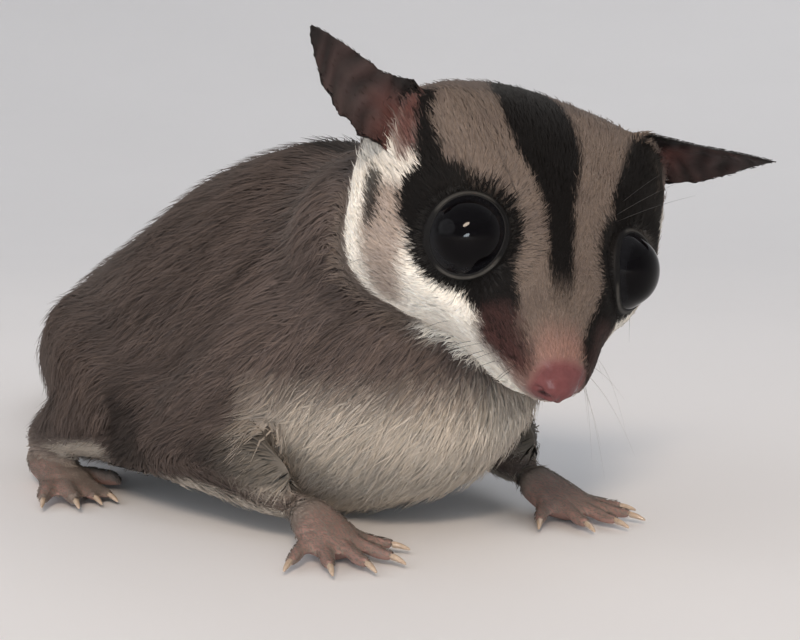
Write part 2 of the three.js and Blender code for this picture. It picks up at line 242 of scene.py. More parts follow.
class GliderCoat(bpy.types.PropertyGroup):
    """Sizes of the skin and the coat"""

    voxel: length_setting("Skin grain", "Size of the skin's first faces", 0.00042)
    skin_triangles: IntProperty(
        name="Skin triangles", description="Most triangles in the skin",
        default=185000, min=20000, max=199000,
    )
    density: FloatProperty(
        name="Density", description="Share of the coat's tufts that are made",
        default=1.0, min=0.05, max=1.2,
    )
    length: FloatProperty(
        name="Length", description="Tuft length against the chosen one", default=1.0, min=0.3, max=1.5,
    )
    seed: IntProperty(name="Seed", description="Start of the coat's random numbers", default=7, min=1)


class GliderFace(bpy.types.PropertyGroup):
    """Sizes of the face"""

    lid_opening: FloatProperty(
        name="Lid opening", description="Half angle of the eye's opening", default=math.radians(60),
        subtype="ANGLE", min=0.5, max=1.4,
    )
    lid_thickness: length_setting("Lid thickness", "How far the lid stands off the eye", 0.00035)
    whisker_length: length_setting("Whisker length", "Length of the longest whiskers", 0.027)


class GliderStage(bpy.types.PropertyGroup):
    """Camera, floor and light"""

    lens: FloatProperty(name="Lens", description="Focal length in millimetres", default=75.24, min=20)
    floor_radius: length_setting("Floor radius", "Radius of the flat part of the floor", 0.5)
    key: FloatProperty(
        name="Key light", description="Power of the main lights", default=10.5, min=0, unit="POWER",
    )
    fill: FloatProperty(
        name="Fill light", description="Power of the soft lights", default=3.5, min=0, unit="POWER",
    )
    sky: FloatProperty(
        name="Surroundings", description="Strength of the pale surroundings", default=0.62, min=0,
    )


def deselect():
    """Selects nothing"""
    bpy.ops.object.select_all(action="DESELECT")


def select(pieces):
    """Selects some pieces and makes the first active"""
    deselect()
    for piece in pieces:
        piece.select_set(True)
    bpy.context.view_layer.objects.active = pieces[0]


def join(pieces, name):
    """Makes one named object of several"""
    select(pieces)
    bpy.ops.object.join()
    joined = bpy.context.object
    joined.name = joined.data.name = name
    return joined


def add_object(name, data):
    """A new object in the scene that shows some data"""
    added = bpy.data.objects.new(name, data)
    bpy.context.scene.collection.objects.link(added)
    return added


def apply_modifier(piece, kind, **settings):
    """Adds a modifier to a piece, sets it and applies it"""
    select([piece])
    bpy.ops.object.modifier_add(type=kind)
    modifier = piece.modifiers[-1]
    for name, value in settings.items():
        setattr(modifier, name, value)
    bpy.ops.object.modifier_apply(modifier=modifier.name)


def copy_of(node):
    """A copy of a CAD node with its doubles merged"""
    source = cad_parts[node]
    mesh = source.data.copy()
    piece = add_object(f"copy_{node}", mesh)
    shape = bmesh.new()
    shape.from_mesh(mesh)
    bmesh.ops.remove_doubles(shape, verts=shape.verts, dist=1e-6)
    bmesh.ops.recalc_face_normals(shape, faces=shape.faces)
    shape.to_mesh(mesh)
    shape.free()
    mesh.materials.clear()
    return piece


def read(items, name, width, kind=np.float32):
    """One attribute of all items, so many numbers for each"""
    found = np.empty(len(items) * width, kind)
    items.foreach_get(name, found)
    return found.reshape(-1, width)


def corners_of(mesh):
    """Places of a mesh's corners"""
    return read(mesh.vertices, "co", 3).astype(float)


def set_corners(mesh, places):
    """Moves a mesh's corners"""
    mesh.vertices.foreach_set("co", places.astype(np.float32).ravel())
    mesh.update()


def normals_of(mesh):
    """Normals at a mesh's corners"""
    return read(mesh.vertices, "normal", 3).astype(float)


def triangles_of(mesh):
    """Corner numbers of a mesh's triangles"""
    mesh.calc_loop_triangles()
    return read(mesh.loop_triangles, "vertices", 3, np.int32)


def edges_of(mesh):
    """Corner numbers of a mesh's edges"""
    return read(mesh.edges, "vertices", 2, np.int32)


def triangle_areas(triangle):
    """Areas of triangles given by their three corners"""
    edge_one = triangle[:, 1] - triangle[:, 0]
    edge_two = triangle[:, 2] - triangle[:, 0]
    return np.linalg.norm(np.cross(edge_one, edge_two), axis=1) / 2


def spread(random, count):
    """Random shares of a triangle's second and third corner"""
    one, two = random.random((2, count))
    over = one + two > 1
    one[over], two[over] = 1 - one[over], 1 - two[over]
    return one, two


def nearest_of(points, places):
    """The number of the point nearest to each place"""
    tree = KDTree(len(points))
    for index, point in enumerate(points):
        tree.insert(point, index)
    tree.balance()
    return np.fromiter((tree.find(place)[1] for place in places), int, len(places))


def averager(edges, count):
    """A function that averages values over each corner's neighbours"""
    source = np.concatenate((edges[:, 0], edges[:, 1]))
    target = np.concatenate((edges[:, 1], edges[:, 0]))
    order = np.argsort(source, kind="stable")
    target = target[order]
    degree = np.bincount(source, minlength=count)
    starts = np.concatenate(([0], np.cumsum(degree)[:-1]))
    return lambda values: np.add.reduceat(values[target], starts, axis=0) / degree[:, None]


def relax(places, average, share, rounds):
    """Moves corners a share of the way to their neighbours' middle, some rounds"""
    for _ in range(rounds):
        places = places + share * (average(places) - places)
    return places


def part_of(node):
    """The coat table's name for a CAD node"""
    if node.startswith("tail_"):
        return "tail"
    return node.removesuffix("_left").removesuffix("_right")


def part_samples(random):
    """Points spread over the flesh nodes and each point's part number"""
    places, labels = [], []
    for node in FLESH:
        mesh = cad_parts[node].data
        triangle = corners_of(mesh)[triangles_of(mesh)]
        count = np.maximum(1, (triangle_areas(triangle) / SAMPLE_AREA).astype(int))
        pick = np.repeat(np.arange(len(triangle)), count)
        one, two = spread(random, len(pick))
        first, second, third = triangle[pick, 0], triangle[pick, 1], triangle[pick, 2]
        places.append(first + one[:, None] * (second - first) + two[:, None] * (third - first))
        labels.append(np.full(len(pick), PART[part_of(node)]))
    return np.concatenate(places), np.concatenate(labels)


def part_weights(places, average, rounds, random):
    """How much each corner belongs to each part, blended over the seams"""
    sample, label = part_samples(random)
    weights = np.zeros((len(places), len(PARTS)))
    weights[np.arange(len(places)), label[nearest_of(sample, places)]] = 1
    for _ in range(rounds):
        weights = 0.5 * weights + 0.5 * average(weights)
    return weights


def summed(weights, *names):
    """How much each corner belongs to some parts together"""
    return weights[:, [PART[name] for name in names]].sum(1)


def coat_depth(weights, local):
    """Depth of the coat in metres at each corner"""
    depth = np.array([COATS[name][0] for name in PARTS])
    plain = weights @ depth
    face = smoothstep(-16, 12, local[:, 0])
    thinner = weights[:, PART["head"]] * 0.55 * face
    return (plain - thinner) * MM


def lid_opening(across, upward):
    """Half angle of the eye's opening, taller than it is wide"""
    opening = bpy.context.scene.glider_face.lid_opening
    return opening + math.radians(6) * (upward ** 2 - across ** 2)


def eye_share(places, side, toward):
    """How much places lie off an eye's axis to a side given in the head's frame, -1 to 1"""
    axis = eye_axis(side)
    offset = places - eye_centre(side)
    toward = unit(from_head(toward) - (from_head(toward) @ axis) * axis)
    return unit(offset - (offset @ axis)[:, None] * axis) @ toward


def eye_polar(places, side):
    """Distance from an eye's centre and degrees past the edge of its opening"""
    offset = places - eye_centre(side)
    distance = np.linalg.norm(offset, axis=1)
    angle = np.arccos(np.clip(offset @ eye_axis(side) / np.maximum(distance, 1e-9), -1, 1))
    upward = eye_share(places, side, (0, 0, 1))
    across = np.sqrt(np.maximum(1 - upward ** 2, 0))
    return distance, np.degrees(angle - lid_opening(across, upward))


# Painted highlights on the moist lid edges: degrees past the opening, spread, how far up and back they lie,
# and how pale
PAINTED_LID_GLINTS = (
    (2.4, 1.8, 0.35, 0.93, 0.32),
    (3.0, 1.6, -0.45, -0.89, 0.45),
)


def refine(mesh, wanted):
    """Splits each face in four where wanted says so of its middle"""
    shape = bmesh.new()
    shape.from_mesh(mesh)
    middles = np.array([face.calc_center_median() for face in shape.faces])
    chosen = wanted(middles)
    faces = [face for face, take in zip(shape.faces, chosen) if take]
    edges = list({edge for face in faces for edge in face.edges})
    bmesh.ops.subdivide_edges(shape, edges=edges, cuts=1, use_grid_fill=True)
    bmesh.ops.triangulate(shape, faces=[face for face in shape.faces if len(face.verts) > 4])
    shape.to_mesh(mesh)
    shape.free()


def near_eyes(reach):
    """A test for places within some degrees of an eye's opening"""
    def test(places):
        found = np.zeros(len(places), bool)
        for side in SIDES:
            distance, past = eye_polar(places, side)
            found |= (distance < eye_radius() + 1.6 * MM) & (np.abs(past) < reach)
        return found
    return test


def near_nose(places):
    """Whether places lie round the nose"""
    return np.linalg.norm(to_head(places) - NOSE_TIP, axis=1) < NOSE_REACH


def open_eyes(places):
    """Presses the skin in behind each eye's opening, which leaves lids round the eye"""
    radius = eye_radius()
    thickness = bpy.context.scene.glider_face.lid_thickness
    for side in SIDES:
        distance, past = eye_polar(places, side)
        direction = (places - eye_centre(side)) / np.maximum(distance, 1e-9)[:, None]
        roll = 0.05 * MM * np.exp(-((past - 5) / 3) ** 2)
        lid = radius + thickness * (0.35 + 0.65 * smoothstep(0, 7, past)) + roll
        hug = (1 - smoothstep(9, 26, past)) * (distance < radius + 2.2 * MM) * (distance > radius - 1.5 * MM)
        shaped = distance * (1 - hug) + lid * hug
        near = distance < radius + 3 * MM
        inside = (1 - smoothstep(-4.5, 0.0, past)) * near
        shaped = shaped * (1 - inside) + np.minimum(shaped, radius - SOCKET_DEPTH) * inside
        places[near] = (eye_centre(side) + direction * shaped[:, None])[near]
    return places


def press(places, normals, centre, reach, depth):
    """Pushes the surface near a point of the head's frame in by a depth, all in millimetres"""
    local = to_head(places)
    gap = (local - np.array(centre)) / np.array(reach)
    share = np.exp(-np.sum(gap ** 2, axis=1))
    return places - normals * (share * depth * MM)[:, None]


# Dents on both sides of the nose: place in the head's frame, reach each way, depth, in millimetres
NOSE_DENTS = (
    ((17.7, 1.45, -6.7), (0.9, 0.55, 0.42), 0.95),
    ((17.0, 2.2, -6.2), (0.9, 0.4, 0.28), 0.5),
    ((16.2, 2.7, -4.8), (0.9, 0.45, 0.9), 0.25),
)


def shape_nose(places, normals):
    """Nostrils, the groove below them and the crease round the pad"""
    for sign in (-1, 1):
        for (ahead, out, up), reach, depth in NOSE_DENTS:
            places = press(places, normals, (ahead, sign * out, up), reach, depth)
    return press(places, normals, (17.8, 0, -7.6), (1.6, 0.22, 1.3), 0.35)


def ear_place(local, side):
    """How far along an ear points are, how far across, and how far in front of its middle"""
    root = np.array(EAR_ROOTS[side], float)
    axis = np.array(EAR_TIPS[side], float) - root
    length = np.linalg.norm(axis)
    axis /= length
    along = np.clip((local - root) @ axis / length, 0, 1)
    facing = np.outer(1 - along, EAR_FACINGS[side]) + np.outer(along, EAR_TIP_FACINGS[side])
    facing = unit(facing - (facing @ axis)[:, None] * axis)
    across = np.cross(facing, axis)
    offset = local - root - np.outer(along * length, axis)
    return along, np.sum(offset * across, axis=1), np.sum(offset * facing, axis=1), facing


def ear_folds(along, across):
    """Uneven ridges across an ear, -1 to 1"""
    phase = 40 * along + 0.5 * across + 1.6 * np.sin(0.9 * across + 7 * along)
    return np.sin(phase) * (0.65 + 0.35 * np.sin(17 * along + 1.3 * across))


def shape_ears(places, normals, weights):
    """Cross folds in the hollow of each ear and a scalloped edge"""
    local = to_head(places)
    for side, sign in SIDES.items():
        along, across, _, facing = ear_place(local, side)
        inner = np.sum(normals * from_head(facing), axis=1) > 0.2
        weight = weights[:, PART["ear"]] * (np.sign(local[:, 1]) == sign)
        middle = 1 - smoothstep(1.5, 4.6, np.abs(across))
        fold = ear_folds(along, across) * smoothstep(0.12, 0.3, along) * (1 - smoothstep(0.75, 0.95, along))
        rib = np.exp(-((across - 1.2) / 0.7) ** 2) * (1 - along)
        lift = inner * weight * (0.2 * fold * middle + 0.3 * rib)
        places = places + normals * (lift * MM)[:, None]
        lower = smoothstep(2.4, 4.2, across * EAR_LOWER[side])
        edge = lower * weight * (0.17 * np.sin(along * 29 + 1.3) + 0.08 * np.sin(along * 67))
        sideways = from_head(np.cross(facing, np.array(EAR_TIPS[side]) - np.array(EAR_ROOTS[side])))
        places = places + unit(sideways) * (np.sign(across) * edge * MM)[:, None]
    return places


# Most rounds in which connected corners take on one number
LABEL_ROUNDS = 400


def largest_piece(mesh):
    """Keeps only the largest connected piece of a mesh"""
    edges = edges_of(mesh)
    count = len(mesh.vertices)
    label = np.arange(count)
    for _ in range(LABEL_ROUNDS):
        low = np.minimum(label[edges[:, 0]], label[edges[:, 1]])
        new = label.copy()
        np.minimum.at(new, edges[:, 0], low)
        np.minimum.at(new, edges[:, 1], low)
        new = new[new]
        if np.array_equal(new, label):
            break
        label = new
    sizes = np.bincount(label, minlength=count)
    keep = label == sizes.argmax()
    if keep.all():
        return
    shape = bmesh.new()
    shape.from_mesh(mesh)
    shape.verts.ensure_lookup_table()
    gone = [shape.verts[index] for index in np.flatnonzero(~keep)]
    bmesh.ops.delete(shape, geom=gone, context="VERTS")
    shape.to_mesh(mesh)
    shape.free()


# Rounds that blend the parts over their seams, before and after the skin is thinned
FIRST_BLEND = 14
LAST_BLEND = 10
# How far the solids are grown until they meet
GROWTH = 0.25 * MM
# Lowest place of the skin
SKIN_FLOOR = 0.05 * MM
# Radius of the round end of each digit, about its claw's root
DIGIT_TIP = 1.05 * MM


def claw_root(node):
    """The middle of a claw's root end and the way the claw points"""
    places = corners_of(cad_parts[node].data)
    paw = node.removeprefix("claw_").rsplit("_", 1)[0]
    distance = np.linalg.norm(places[:, :2] - box_middle(paw)[:2], axis=1)
    nearest = places[distance.argmin()]
    end = places[np.linalg.norm(places - nearest, axis=1) < 0.9 * MM].mean(0)
    return end, unit(places[distance.argmax()] - end)


def joined_flesh():
    """Copies of all flesh nodes, grown until they meet, with a ball in each eye socket"""
    pieces = []
    for node in FLESH:
        piece = copy_of(node)
        places = corners_of(piece.data)
        set_corners(piece.data, places + normals_of(piece.data) * GROWTH)
        pieces.append(piece)
    face_depth = (COATS["head"][0] - 0.35) * MM
    for side in SIDES:
        deselect()
        bpy.ops.mesh.primitive_uv_sphere_add(
            segments=48, ring_count=24, location=eye_centre(side),
            radius=eye_radius() + bpy.context.scene.glider_face.lid_thickness + face_depth + GROWTH,
        )
        bpy.ops.object.transform_apply(location=True, rotation=True, scale=True)
        pieces.append(bpy.context.object)
    for node in NODES:
        if node.startswith("claw_"):
            root, ahead = claw_root(node)
            deselect()
            bpy.ops.mesh.primitive_ico_sphere_add(
                subdivisions=3, radius=DIGIT_TIP, location=root - ahead * DIGIT_TIP * 0.25,
            )
            bpy.ops.object.transform_apply(location=True, rotation=True, scale=True)
            pieces.append(bpy.context.object)
    return join(pieces, "skin")


def set_colours(mesh, name, values):
    """Writes linear colours to a corner attribute"""
    layer = mesh.color_attributes.new(name, "FLOAT_COLOR", "POINT")
    full = np.ones((len(values), 4), np.float32)
    full[:, :3] = values
    layer.data.foreach_set("color", full.ravel())


def set_value(mesh, name, values):
    """Writes numbers to a corner attribute"""
    layer = mesh.attributes.new(name, "FLOAT", "POINT")
    layer.data.foreach_set("value", values.astype(np.float32))


def near_capsule(local, start, end, wide, narrow):
    """How far outside a tapering capsule points are, in millimetres; the capsule is on both sides"""
    start, end = np.array(start, float), np.array(end, float)
    line = end - start
    offset = mirrored(local) - start
    share = np.clip(offset @ line / max(line @ line, 1e-9), 0, 1)
    return np.linalg.norm(offset - share[:, None] * line, axis=1) - (wide + (narrow - wide) * share)


# Dark mask in the head's frame: start, end, the radius at both, and the sides it is on
BOTH = (-1, 1)
MASK = (
    ((1.6, 10.3, 1.6), (1.6, 10.3, 1.6), 6.4, 6.4, BOTH),
    ((-1.2, 13.4, 3.0), (-1.2, 13.4, 3.0), 4.6, 4.6, BOTH),
    ((4.0, 9.0, 0.6), (9.3, 7.2, -1.6), 4.0, 2.4, BOTH),
    ((-3.0, 15.0, 5.4), (-8.0, 16.2, 8.8), 1.8, 1.0, BOTH),
    ((-8.0, 16.2, 8.8), (-12.5, 15.2, 10.2), 1.0, 1.1, BOTH),
    ((-12.5, 15.2, 10.2), (-17.0, 12.8, 10.6), 1.1, 0.7, BOTH),
    ((-1.0, 11.0, 7.5), (-9.5, 13.6, 10.5), 3.5, 2.0, (1,)),
    ((9.3, 7.2, -1.6), (13.6, 4.6, -3.0), 2.4, 1.7, (1,)),
)
# The forehead stripe: how far ahead, half its width there, and how far its middle is left
STRIPE = np.array([
    (-30, 2.4, 0.0), (-20, 3.4, -0.8), (-13, 5.0, -2.2), (-8, 4.9, -2.2), (-4.8, 4.5, -2.2),
    (1.5, 2.1, -1.4), (5.7, 1.65, -1.1), (8.6, 1.45, -0.7), (11.4, 0.7, -0.6),
])


def blend(base, over, share):
    """Mixes rows of colours or directions by a share for each"""
    return base * (1 - share[:, None]) + over * share[:, None]


def mask_share(local):
    """How much of the dark mask covers points of the head's frame"""
    ahead, out, up = local[:, 0], np.abs(local[:, 1]), local[:, 2]
    inward = np.where(local[:, 1] > 0, 1.6 - 1.2 * smoothstep(8, 14, out), 0)
    shifted = np.stack((ahead, out + inward, up), axis=1)
    gap = np.full(len(local), 99.0)
    for start, end, wide, narrow, sides in MASK:
        here = np.isin(np.where(local[:, 1] > 0, 1, -1), sides)
        gap = np.where(here, np.minimum(gap, near_capsule(shifted, start, end, wide, narrow)), gap)
    return smoothstep(0.5, -0.4, gap)


def ear_front(local):
    """The bare strip of head between the right ear's hollow and the dark band"""
    strip = smoothstep(0.4, -0.7, near_capsule(local, (-12.4, 16.6, 8.4), (-6.6, 17.6, 5.4), 1.2, 1.4))
    return strip * (local[:, 1] < 0)


def head_markings(local):
    """Coat colours of the head at points of its own frame"""
    ahead, out, up = local[:, 0], np.abs(local[:, 1]), local[:, 2]
    paint = np.tile(colour("band"), (len(local), 1))
    paint = blend(paint, colour("shoulder"), 0.8 * smoothstep(-9, -17, ahead))
    brown = smoothstep(0.2, 0.9, np.sin(ahead * 0.9 + 1.7) * np.sin(local[:, 1] * 0.6 + 0.8))
    paint = blend(paint, colour("shoulder"), 0.35 * brown)

    beside = smoothstep(12.5, 14.5, out)
    raised = 4.5 * smoothstep(-1.5, -5.0, ahead) * beside
    ear_side = smoothstep(14.9, 16.0, out) * smoothstep(4.8, 6.4, up) * smoothstep(-3.5, -5.5, ahead)
    low = smoothstep(0.0, -2.4, up + 0.42 * ahead - 1.2 - raised) * smoothstep(8.6, 7.0, up)
    limit = -12.2 + 1.29 * np.maximum(-3 - up, 0) - 5 * smoothstep(1, 6, up)
    inside = ahead - limit
    kept = np.maximum(smoothstep(-1.4, 0.8, inside), smoothstep(10, 7, out) * smoothstep(-5, -8, up))
    paint = blend(paint, colour("cream"), low * kept)
    paint = blend(paint, colour("band"), 0.35 * low * kept * beside * smoothstep(-3.5, 2.5, up))
    # Painted shade: a strip of the pale cheek darkened towards the cheek shade colour
    shade = near_capsule(local, (-3.0, 18.0, -1.0), (0.4, 15.2, -9.2), 3.7, 2.2)
    paint = blend(paint, colour("painted_cheek_shade"), 0.85 * low * kept * smoothstep(1.3, -1.5, shade))

    paint = blend(paint, colour("muzzle"), 0.85 * ear_side)
    paint = blend(paint, colour("dark"), mask_share(local))
    half = np.interp(ahead, STRIPE[:, 0], STRIPE[:, 1])
    middle = np.interp(ahead, STRIPE[:, 0], STRIPE[:, 2])
    stripe = smoothstep(0.6, -0.5, np.abs(local[:, 1] - middle) - half) * (up > -3)
    paint = blend(paint, colour("dark"), stripe * smoothstep(11.4, 7.2, ahead))

    pad = smoothstep(1.4, -1.6, near_capsule(local, (10.6, 6.2, -4.2), (14.6, 4.2, -5.0), 2.8, 1.9))
    paint = blend(paint, colour("muzzle"), pad)
    mottle = np.sin(ahead * 3.1) * np.sin(up * 3.7 + 1) * np.sin(local[:, 1] * 2.9)
    deep = np.where(local[:, 1] > 0, 0.55, 0.2 + 0.3 * smoothstep(-5.2, -3.2, up))
    paint = blend(paint, colour("dark"), pad * np.minimum(deep + 0.5 * smoothstep(-0.1, 0.5, mottle), 0.95))
    bridge = smoothstep(10.5, 15.5, ahead) * smoothstep(-9, -6.5, up)
    bridge *= smoothstep(3.8, 1.6, np.abs(local[:, 1] + 0.8))
    paint = blend(paint, colour("pink"), bridge)
    lip = smoothstep(12.6, 14.6, ahead) * smoothstep(-5.0, -6.4, up)
    paint = blend(paint, colour("pink"), 0.6 * lip)
    spot = near_capsule(local, (-7.2, 19.2, 0.4), (-4.1, 19.0, -2.6), 1.25, 0.8)
    paint = blend(paint, colour("dark"), 0.9 * smoothstep(0.9, -0.4, spot))
    paint = blend(paint, colour("ear_pink"), 0.8 * ear_front(local))
    nape = smoothstep(-14.5, -18.5, ahead) * (1 - stripe)
    return blend(paint, colour("shoulder"), nape)


# Painted shadows in creases of the flank's coat and under the cheek, in the body's frame: start, end, the
# radius at both, and how dark
PAINTED_FLANK_SHADOWS = (
    ((19.2, 18.0, 34.6), (16.0, 19.8, 31.6), 1.5, 1.4, 0.65),
    ((16.0, 20.2, 31.0), (8.0, 22.6, 28.4), 0.9, 0.6, 0.5),
    ((30.5, 15.1, 33.6), (33.6, 14.6, 30.4), 1.2, 1.2, 0.4),
)


def body_markings(places, normals, limbs):
    """Coat colours of neck, trunk and limbs; limbs is how much each place belongs to a leg"""
    point = places / MM
    ahead, up = point[:, 0], point[:, 2]
    paint = np.tile(colour("grey"), (len(places), 1))
    paint = blend(paint, colour("shoulder"), smoothstep(8, 26, ahead) * smoothstep(10, 26, up))
    along, across = 0.78 * ahead + 0.62 * up, 0.62 * ahead - 0.78 * up
    wave = np.sin(across * 1.9 + 1.6 * np.sin(along * 0.33) + 0.5 * point[:, 1])
    slow = np.sin(across * 0.71 + 2.1 * np.sin(along * 0.16 + 1) + 0.2 * point[:, 1])
    paint = paint * (1 + 0.09 * wave + 0.10 * slow)[:, None]
    nape = smoothstep(14, 30, ahead)
    half = (1.6 + 2.8 * smoothstep(-35, 4, ahead) - 0.4 * nape) * smoothstep(-60, -46, ahead)
    ragged = 0.3 * np.sin(ahead * 0.9 + np.sin(ahead * 0.37))
    offset = np.abs(point[:, 1] - 5.2 * smoothstep(10, 31, ahead)) + ragged
    stripe = smoothstep(1.4, -1.4, offset - half) * smoothstep(20, 30, up + 0.35 * np.maximum(-ahead, 0))
    paint = blend(paint, colour("dark"), (0.8 + 0.15 * nape) * stripe)
    # Painted shadows: dark patches where the coat parts on the flank and folds under the cheek
    for start, end, wide, narrow, share in PAINTED_FLANK_SHADOWS:
        fold = near_capsule(point, start, end, wide, narrow)
        paint = blend(paint, colour("dark"), share * smoothstep(1.2, -1.4, fold + 0.5 * wave))
    belly = smoothstep(6.5, 2.5, up - 0.05 * np.maximum(ahead, 0))
    throat = smoothstep(14, 27, ahead) * smoothstep(23, 14, up)
    under = np.maximum(belly, throat) * (1 - limbs) + limbs * smoothstep(-0.3, -0.8, normals[:, 2])
    return blend(paint, colour("belly"), under)


def tail_markings(along):
    """Coat colours of the tail, darker towards its tip"""
    paint = np.tile(colour("grey"), (len(along), 1))
    return blend(paint, colour("tail_tip"), smoothstep(0.35, 0.8, along))


def ear_markings(local, normals):
    """Colours of the ears: dark at tip, back and upper edge, brown folds, pink in the hollow of the root,
    with painted highlights on the folds' ridges and painted shade between them
    """
    paint = np.tile(colour("ear_dark"), (len(local), 1))
    for side, sign in SIDES.items():
        along, across, _, facing = ear_place(local, side)
        inner = smoothstep(-0.1, 0.3, np.sum(normals * from_head(facing), axis=1))
        inner = inner * (np.sign(local[:, 1]) == sign)
        under = across * EAR_LOWER[side] + 2.0 * along - 1.2 * smoothstep(0.4, 0.1, along)
        below = smoothstep(-2.8, -0.8, under)
        # Painted highlight and shade: the fold colour is lightest on the ridges' crests and darkest in the
        # hollows between them
        folds = 0.5 + 0.5 * ear_folds(along, across)
        folded = inner * below * smoothstep(0.95, 0.7, along) * (0.15 + 0.85 * folds)
        paint = blend(paint, colour("ear_fold"), folded)
        hollow = inner * below * smoothstep(0.5, 0.08, along + 0.05 * np.abs(across))
        paint = blend(paint, colour("ear_pink"), hollow * (0.75 + 0.25 * folds))
    return paint


def tail_path():
    """Fine points of the tail's midline, the way along each, and the directions there"""
    rough = np.concatenate(([0], np.cumsum(np.linalg.norm(np.diff(TAIL_LINE, axis=0), axis=1))))
    fine = np.linspace(0, rough[-1], TAIL_POINTS)
    line = np.stack([np.interp(fine, rough, TAIL_LINE[:, axis]) for axis in range(3)], axis=1)
    for _ in range(TAIL_ROUNDS):
        line[1:-1] = 0.5 * line[1:-1] + 0.25 * (line[:-2] + line[2:])
    return line * MM, fine / rough[-1], unit(np.gradient(line, axis=0))


def on_tail(places):
    """The way along the tail (0 to 1), its direction and the offset from its midline"""
    line, share, direction = tail_path()
    nearest = nearest_of(line, places)
    return share[nearest], direction[nearest], places - line[nearest]


def wrist_share(places):
    """From 0 well up a leg to 1 well down its hand or foot"""
    found = np.zeros(len(places))
    for limb, paw in (("forearm", "hand"), ("shank", "foot")):
        for side in SIDES:
            start, end = box_middle(f"{limb}_{side}"), box_middle(f"{paw}_{side}")
            line = end - start
            reach = np.linalg.norm(line)
            offset = places - start
            share = smoothstep(0.35, 0.95, offset @ (line / reach) / reach)
            near = np.linalg.norm(offset - line / 2, axis=1) < reach + 4 * MM
            found = np.maximum(found, share * near)
    return found


def markings(places, normals, weights):
    """Colours of the coat everywhere, as one mix of the parts' own"""
    local = to_head(places)
    share, _, _ = on_tail(places)
    head = summed(weights, "head", "jaw")
    paws = summed(weights, "hand", "foot")
    membrane = weights[:, PART["membrane"]]
    limbs = summed(weights, "upper_arm", "forearm", "thigh", "shank")
    paint = body_markings(places, normals, limbs)
    paint = blend(paint, colour("dark"), 0.75 * membrane * smoothstep(5, 8, places[:, 2] / MM))
    paint = blend(paint, head_markings(local), smoothstep(0.3, 0.7, head))
    paint = blend(paint, colour("paw_fur"), np.maximum(paws, 0.7 * wrist_share(places) * (limbs > 0.3)))
    paint = blend(paint, tail_markings(share), weights[:, PART["tail"]])
    paint = blend(paint, ear_markings(local, normals), smoothstep(0.3, 0.7, weights[:, PART["ear"]]))
    return blend(paint, colour("nose"), smoothstep(0.2, 0.6, weights[:, PART["nose"]]))


def lid_share(places, past_end, past_start):
    """Skin round the eyes, from nothing at one angle past the opening to all of it at another"""
    found = np.zeros(len(places))
    for side in SIDES:
        distance, past = eye_polar(places, side)
        near = distance < eye_radius() + 1.5 * MM
        found = np.maximum(found, near * smoothstep(past_end, past_start, past))
    return found


def bare_share(places, weights):
    """Where the skin shows bare: nose and lids"""
    local = to_head(places)
    bare = smoothstep(0.15, 0.5, weights[:, PART["nose"]])
    pad = smoothstep(15.0, 16.4, local[:, 0]) * smoothstep(-8.8, -7.8, local[:, 2])
    bare = np.maximum(bare, pad * smoothstep(4.2, 2.4, np.abs(local[:, 1])))
    return np.maximum(bare, lid_share(places, 6, 3.5))


def skin_colours(places, normals, weights):
    """The skin carries the coat's markings, a little deeper, and its own colours where it is bare"""
    local = to_head(places)
    paint = markings(places, normals, weights)
    furred = 1 - weights[:, PART["ear"]]
    paint = blend(paint, paint * 0.92, furred)
    bare = bare_share(places, weights)
    pad = smoothstep(12.5, 14.0, local[:, 0])
    paint = blend(paint, colour("nose"), bare * pad)
    paint = blend(paint, colour("lid"), bare * (1 - pad))
    for side in SIDES:
        distance, past = eye_polar(places, side)
        here = distance < eye_radius() + 1.4 * MM
        above = eye_share(places, side, (0, 0, 1))
        rearward = eye_share(places, side, (-1, 0, 0))
        # Painted highlights: pale arcs on the lids where their moist edges catch the light
        for middle, reach, high, back, share in PAINTED_LID_GLINTS:
            toward = above * high + rearward * back
            arc = np.exp(-((past - middle) / reach) ** 2) * smoothstep(0.72, 0.97, toward) * here
            paint = blend(paint, colour("painted_lid_glint"), share * arc)
    # Painted shade: dark inside each nostril, deeper than its dent
    for sign in (-1, 1):
        gap = (local - np.array((17.4, sign * 1.6, -6.6))) / np.array((1.2, 0.8, 0.5))
        hole = np.linalg.norm(gap, axis=1)
        paint = blend(paint, colour("painted_nostril_shade"), smoothstep(1.1, 0.5, hole))
    paws = summed(weights, "hand", "foot")
    return blend(paint, colour("paw"), 0.8 * paws * smoothstep(0.75, 1.0, wrist_share(places)))


def new_material(name, **sockets):
    """A material with some of its shader's sockets set; returns it, its tree and its shader"""
    material = bpy.data.materials.new(name)
    material.use_nodes = True
    nodes = material.node_tree.nodes
    shader = nodes.get("Principled BSDF") or nodes.new("ShaderNodeBsdfPrincipled")
    for socket, value in sockets.items():
        shader.inputs[socket.replace("_", " ")].default_value = value
    return material, material.node_tree, shader


def attribute(tree, name):
    """A node that reads one of the mesh's own attributes"""
    node = tree.nodes.new("ShaderNodeAttribute")
    node.attribute_name = name
    return node


def noise(tree, scale, detail=3.0):
    """Noise over the object's own coordinates"""
    place = tree.nodes.new("ShaderNodeTexCoord")
    node = tree.nodes.new("ShaderNodeTexNoise")
    node.inputs["Scale"].default_value = scale
    node.inputs["Detail"].default_value = detail
    node.inputs["Roughness"].default_value = 0.6
    tree.links.new(place.outputs["Object"], node.inputs["Vector"])
    return node.outputs["Fac"]


def ranged(tree, source, low, high):
    """A value of 0 to 1 spread from low to high"""
    node = tree.nodes.new("ShaderNodeMapRange")
    node.inputs["To Min"].default_value = low
    node.inputs["To Max"].default_value = high
    tree.links.new(source, node.inputs["Value"])
    return node.outputs["Result"]


def uneven_colour(tree, shader, tint, scale, low, high):
    """Base colour made lighter and darker by a fine noise"""
    node = tree.nodes.new("ShaderNodeVectorMath")
    node.operation = "SCALE"
    tree.links.new(tint, node.inputs[0])
    tree.links.new(ranged(tree, noise(tree, scale), low, high), node.inputs["Scale"])
    tree.links.new(node.outputs["Vector"], shader.inputs["Base Color"])


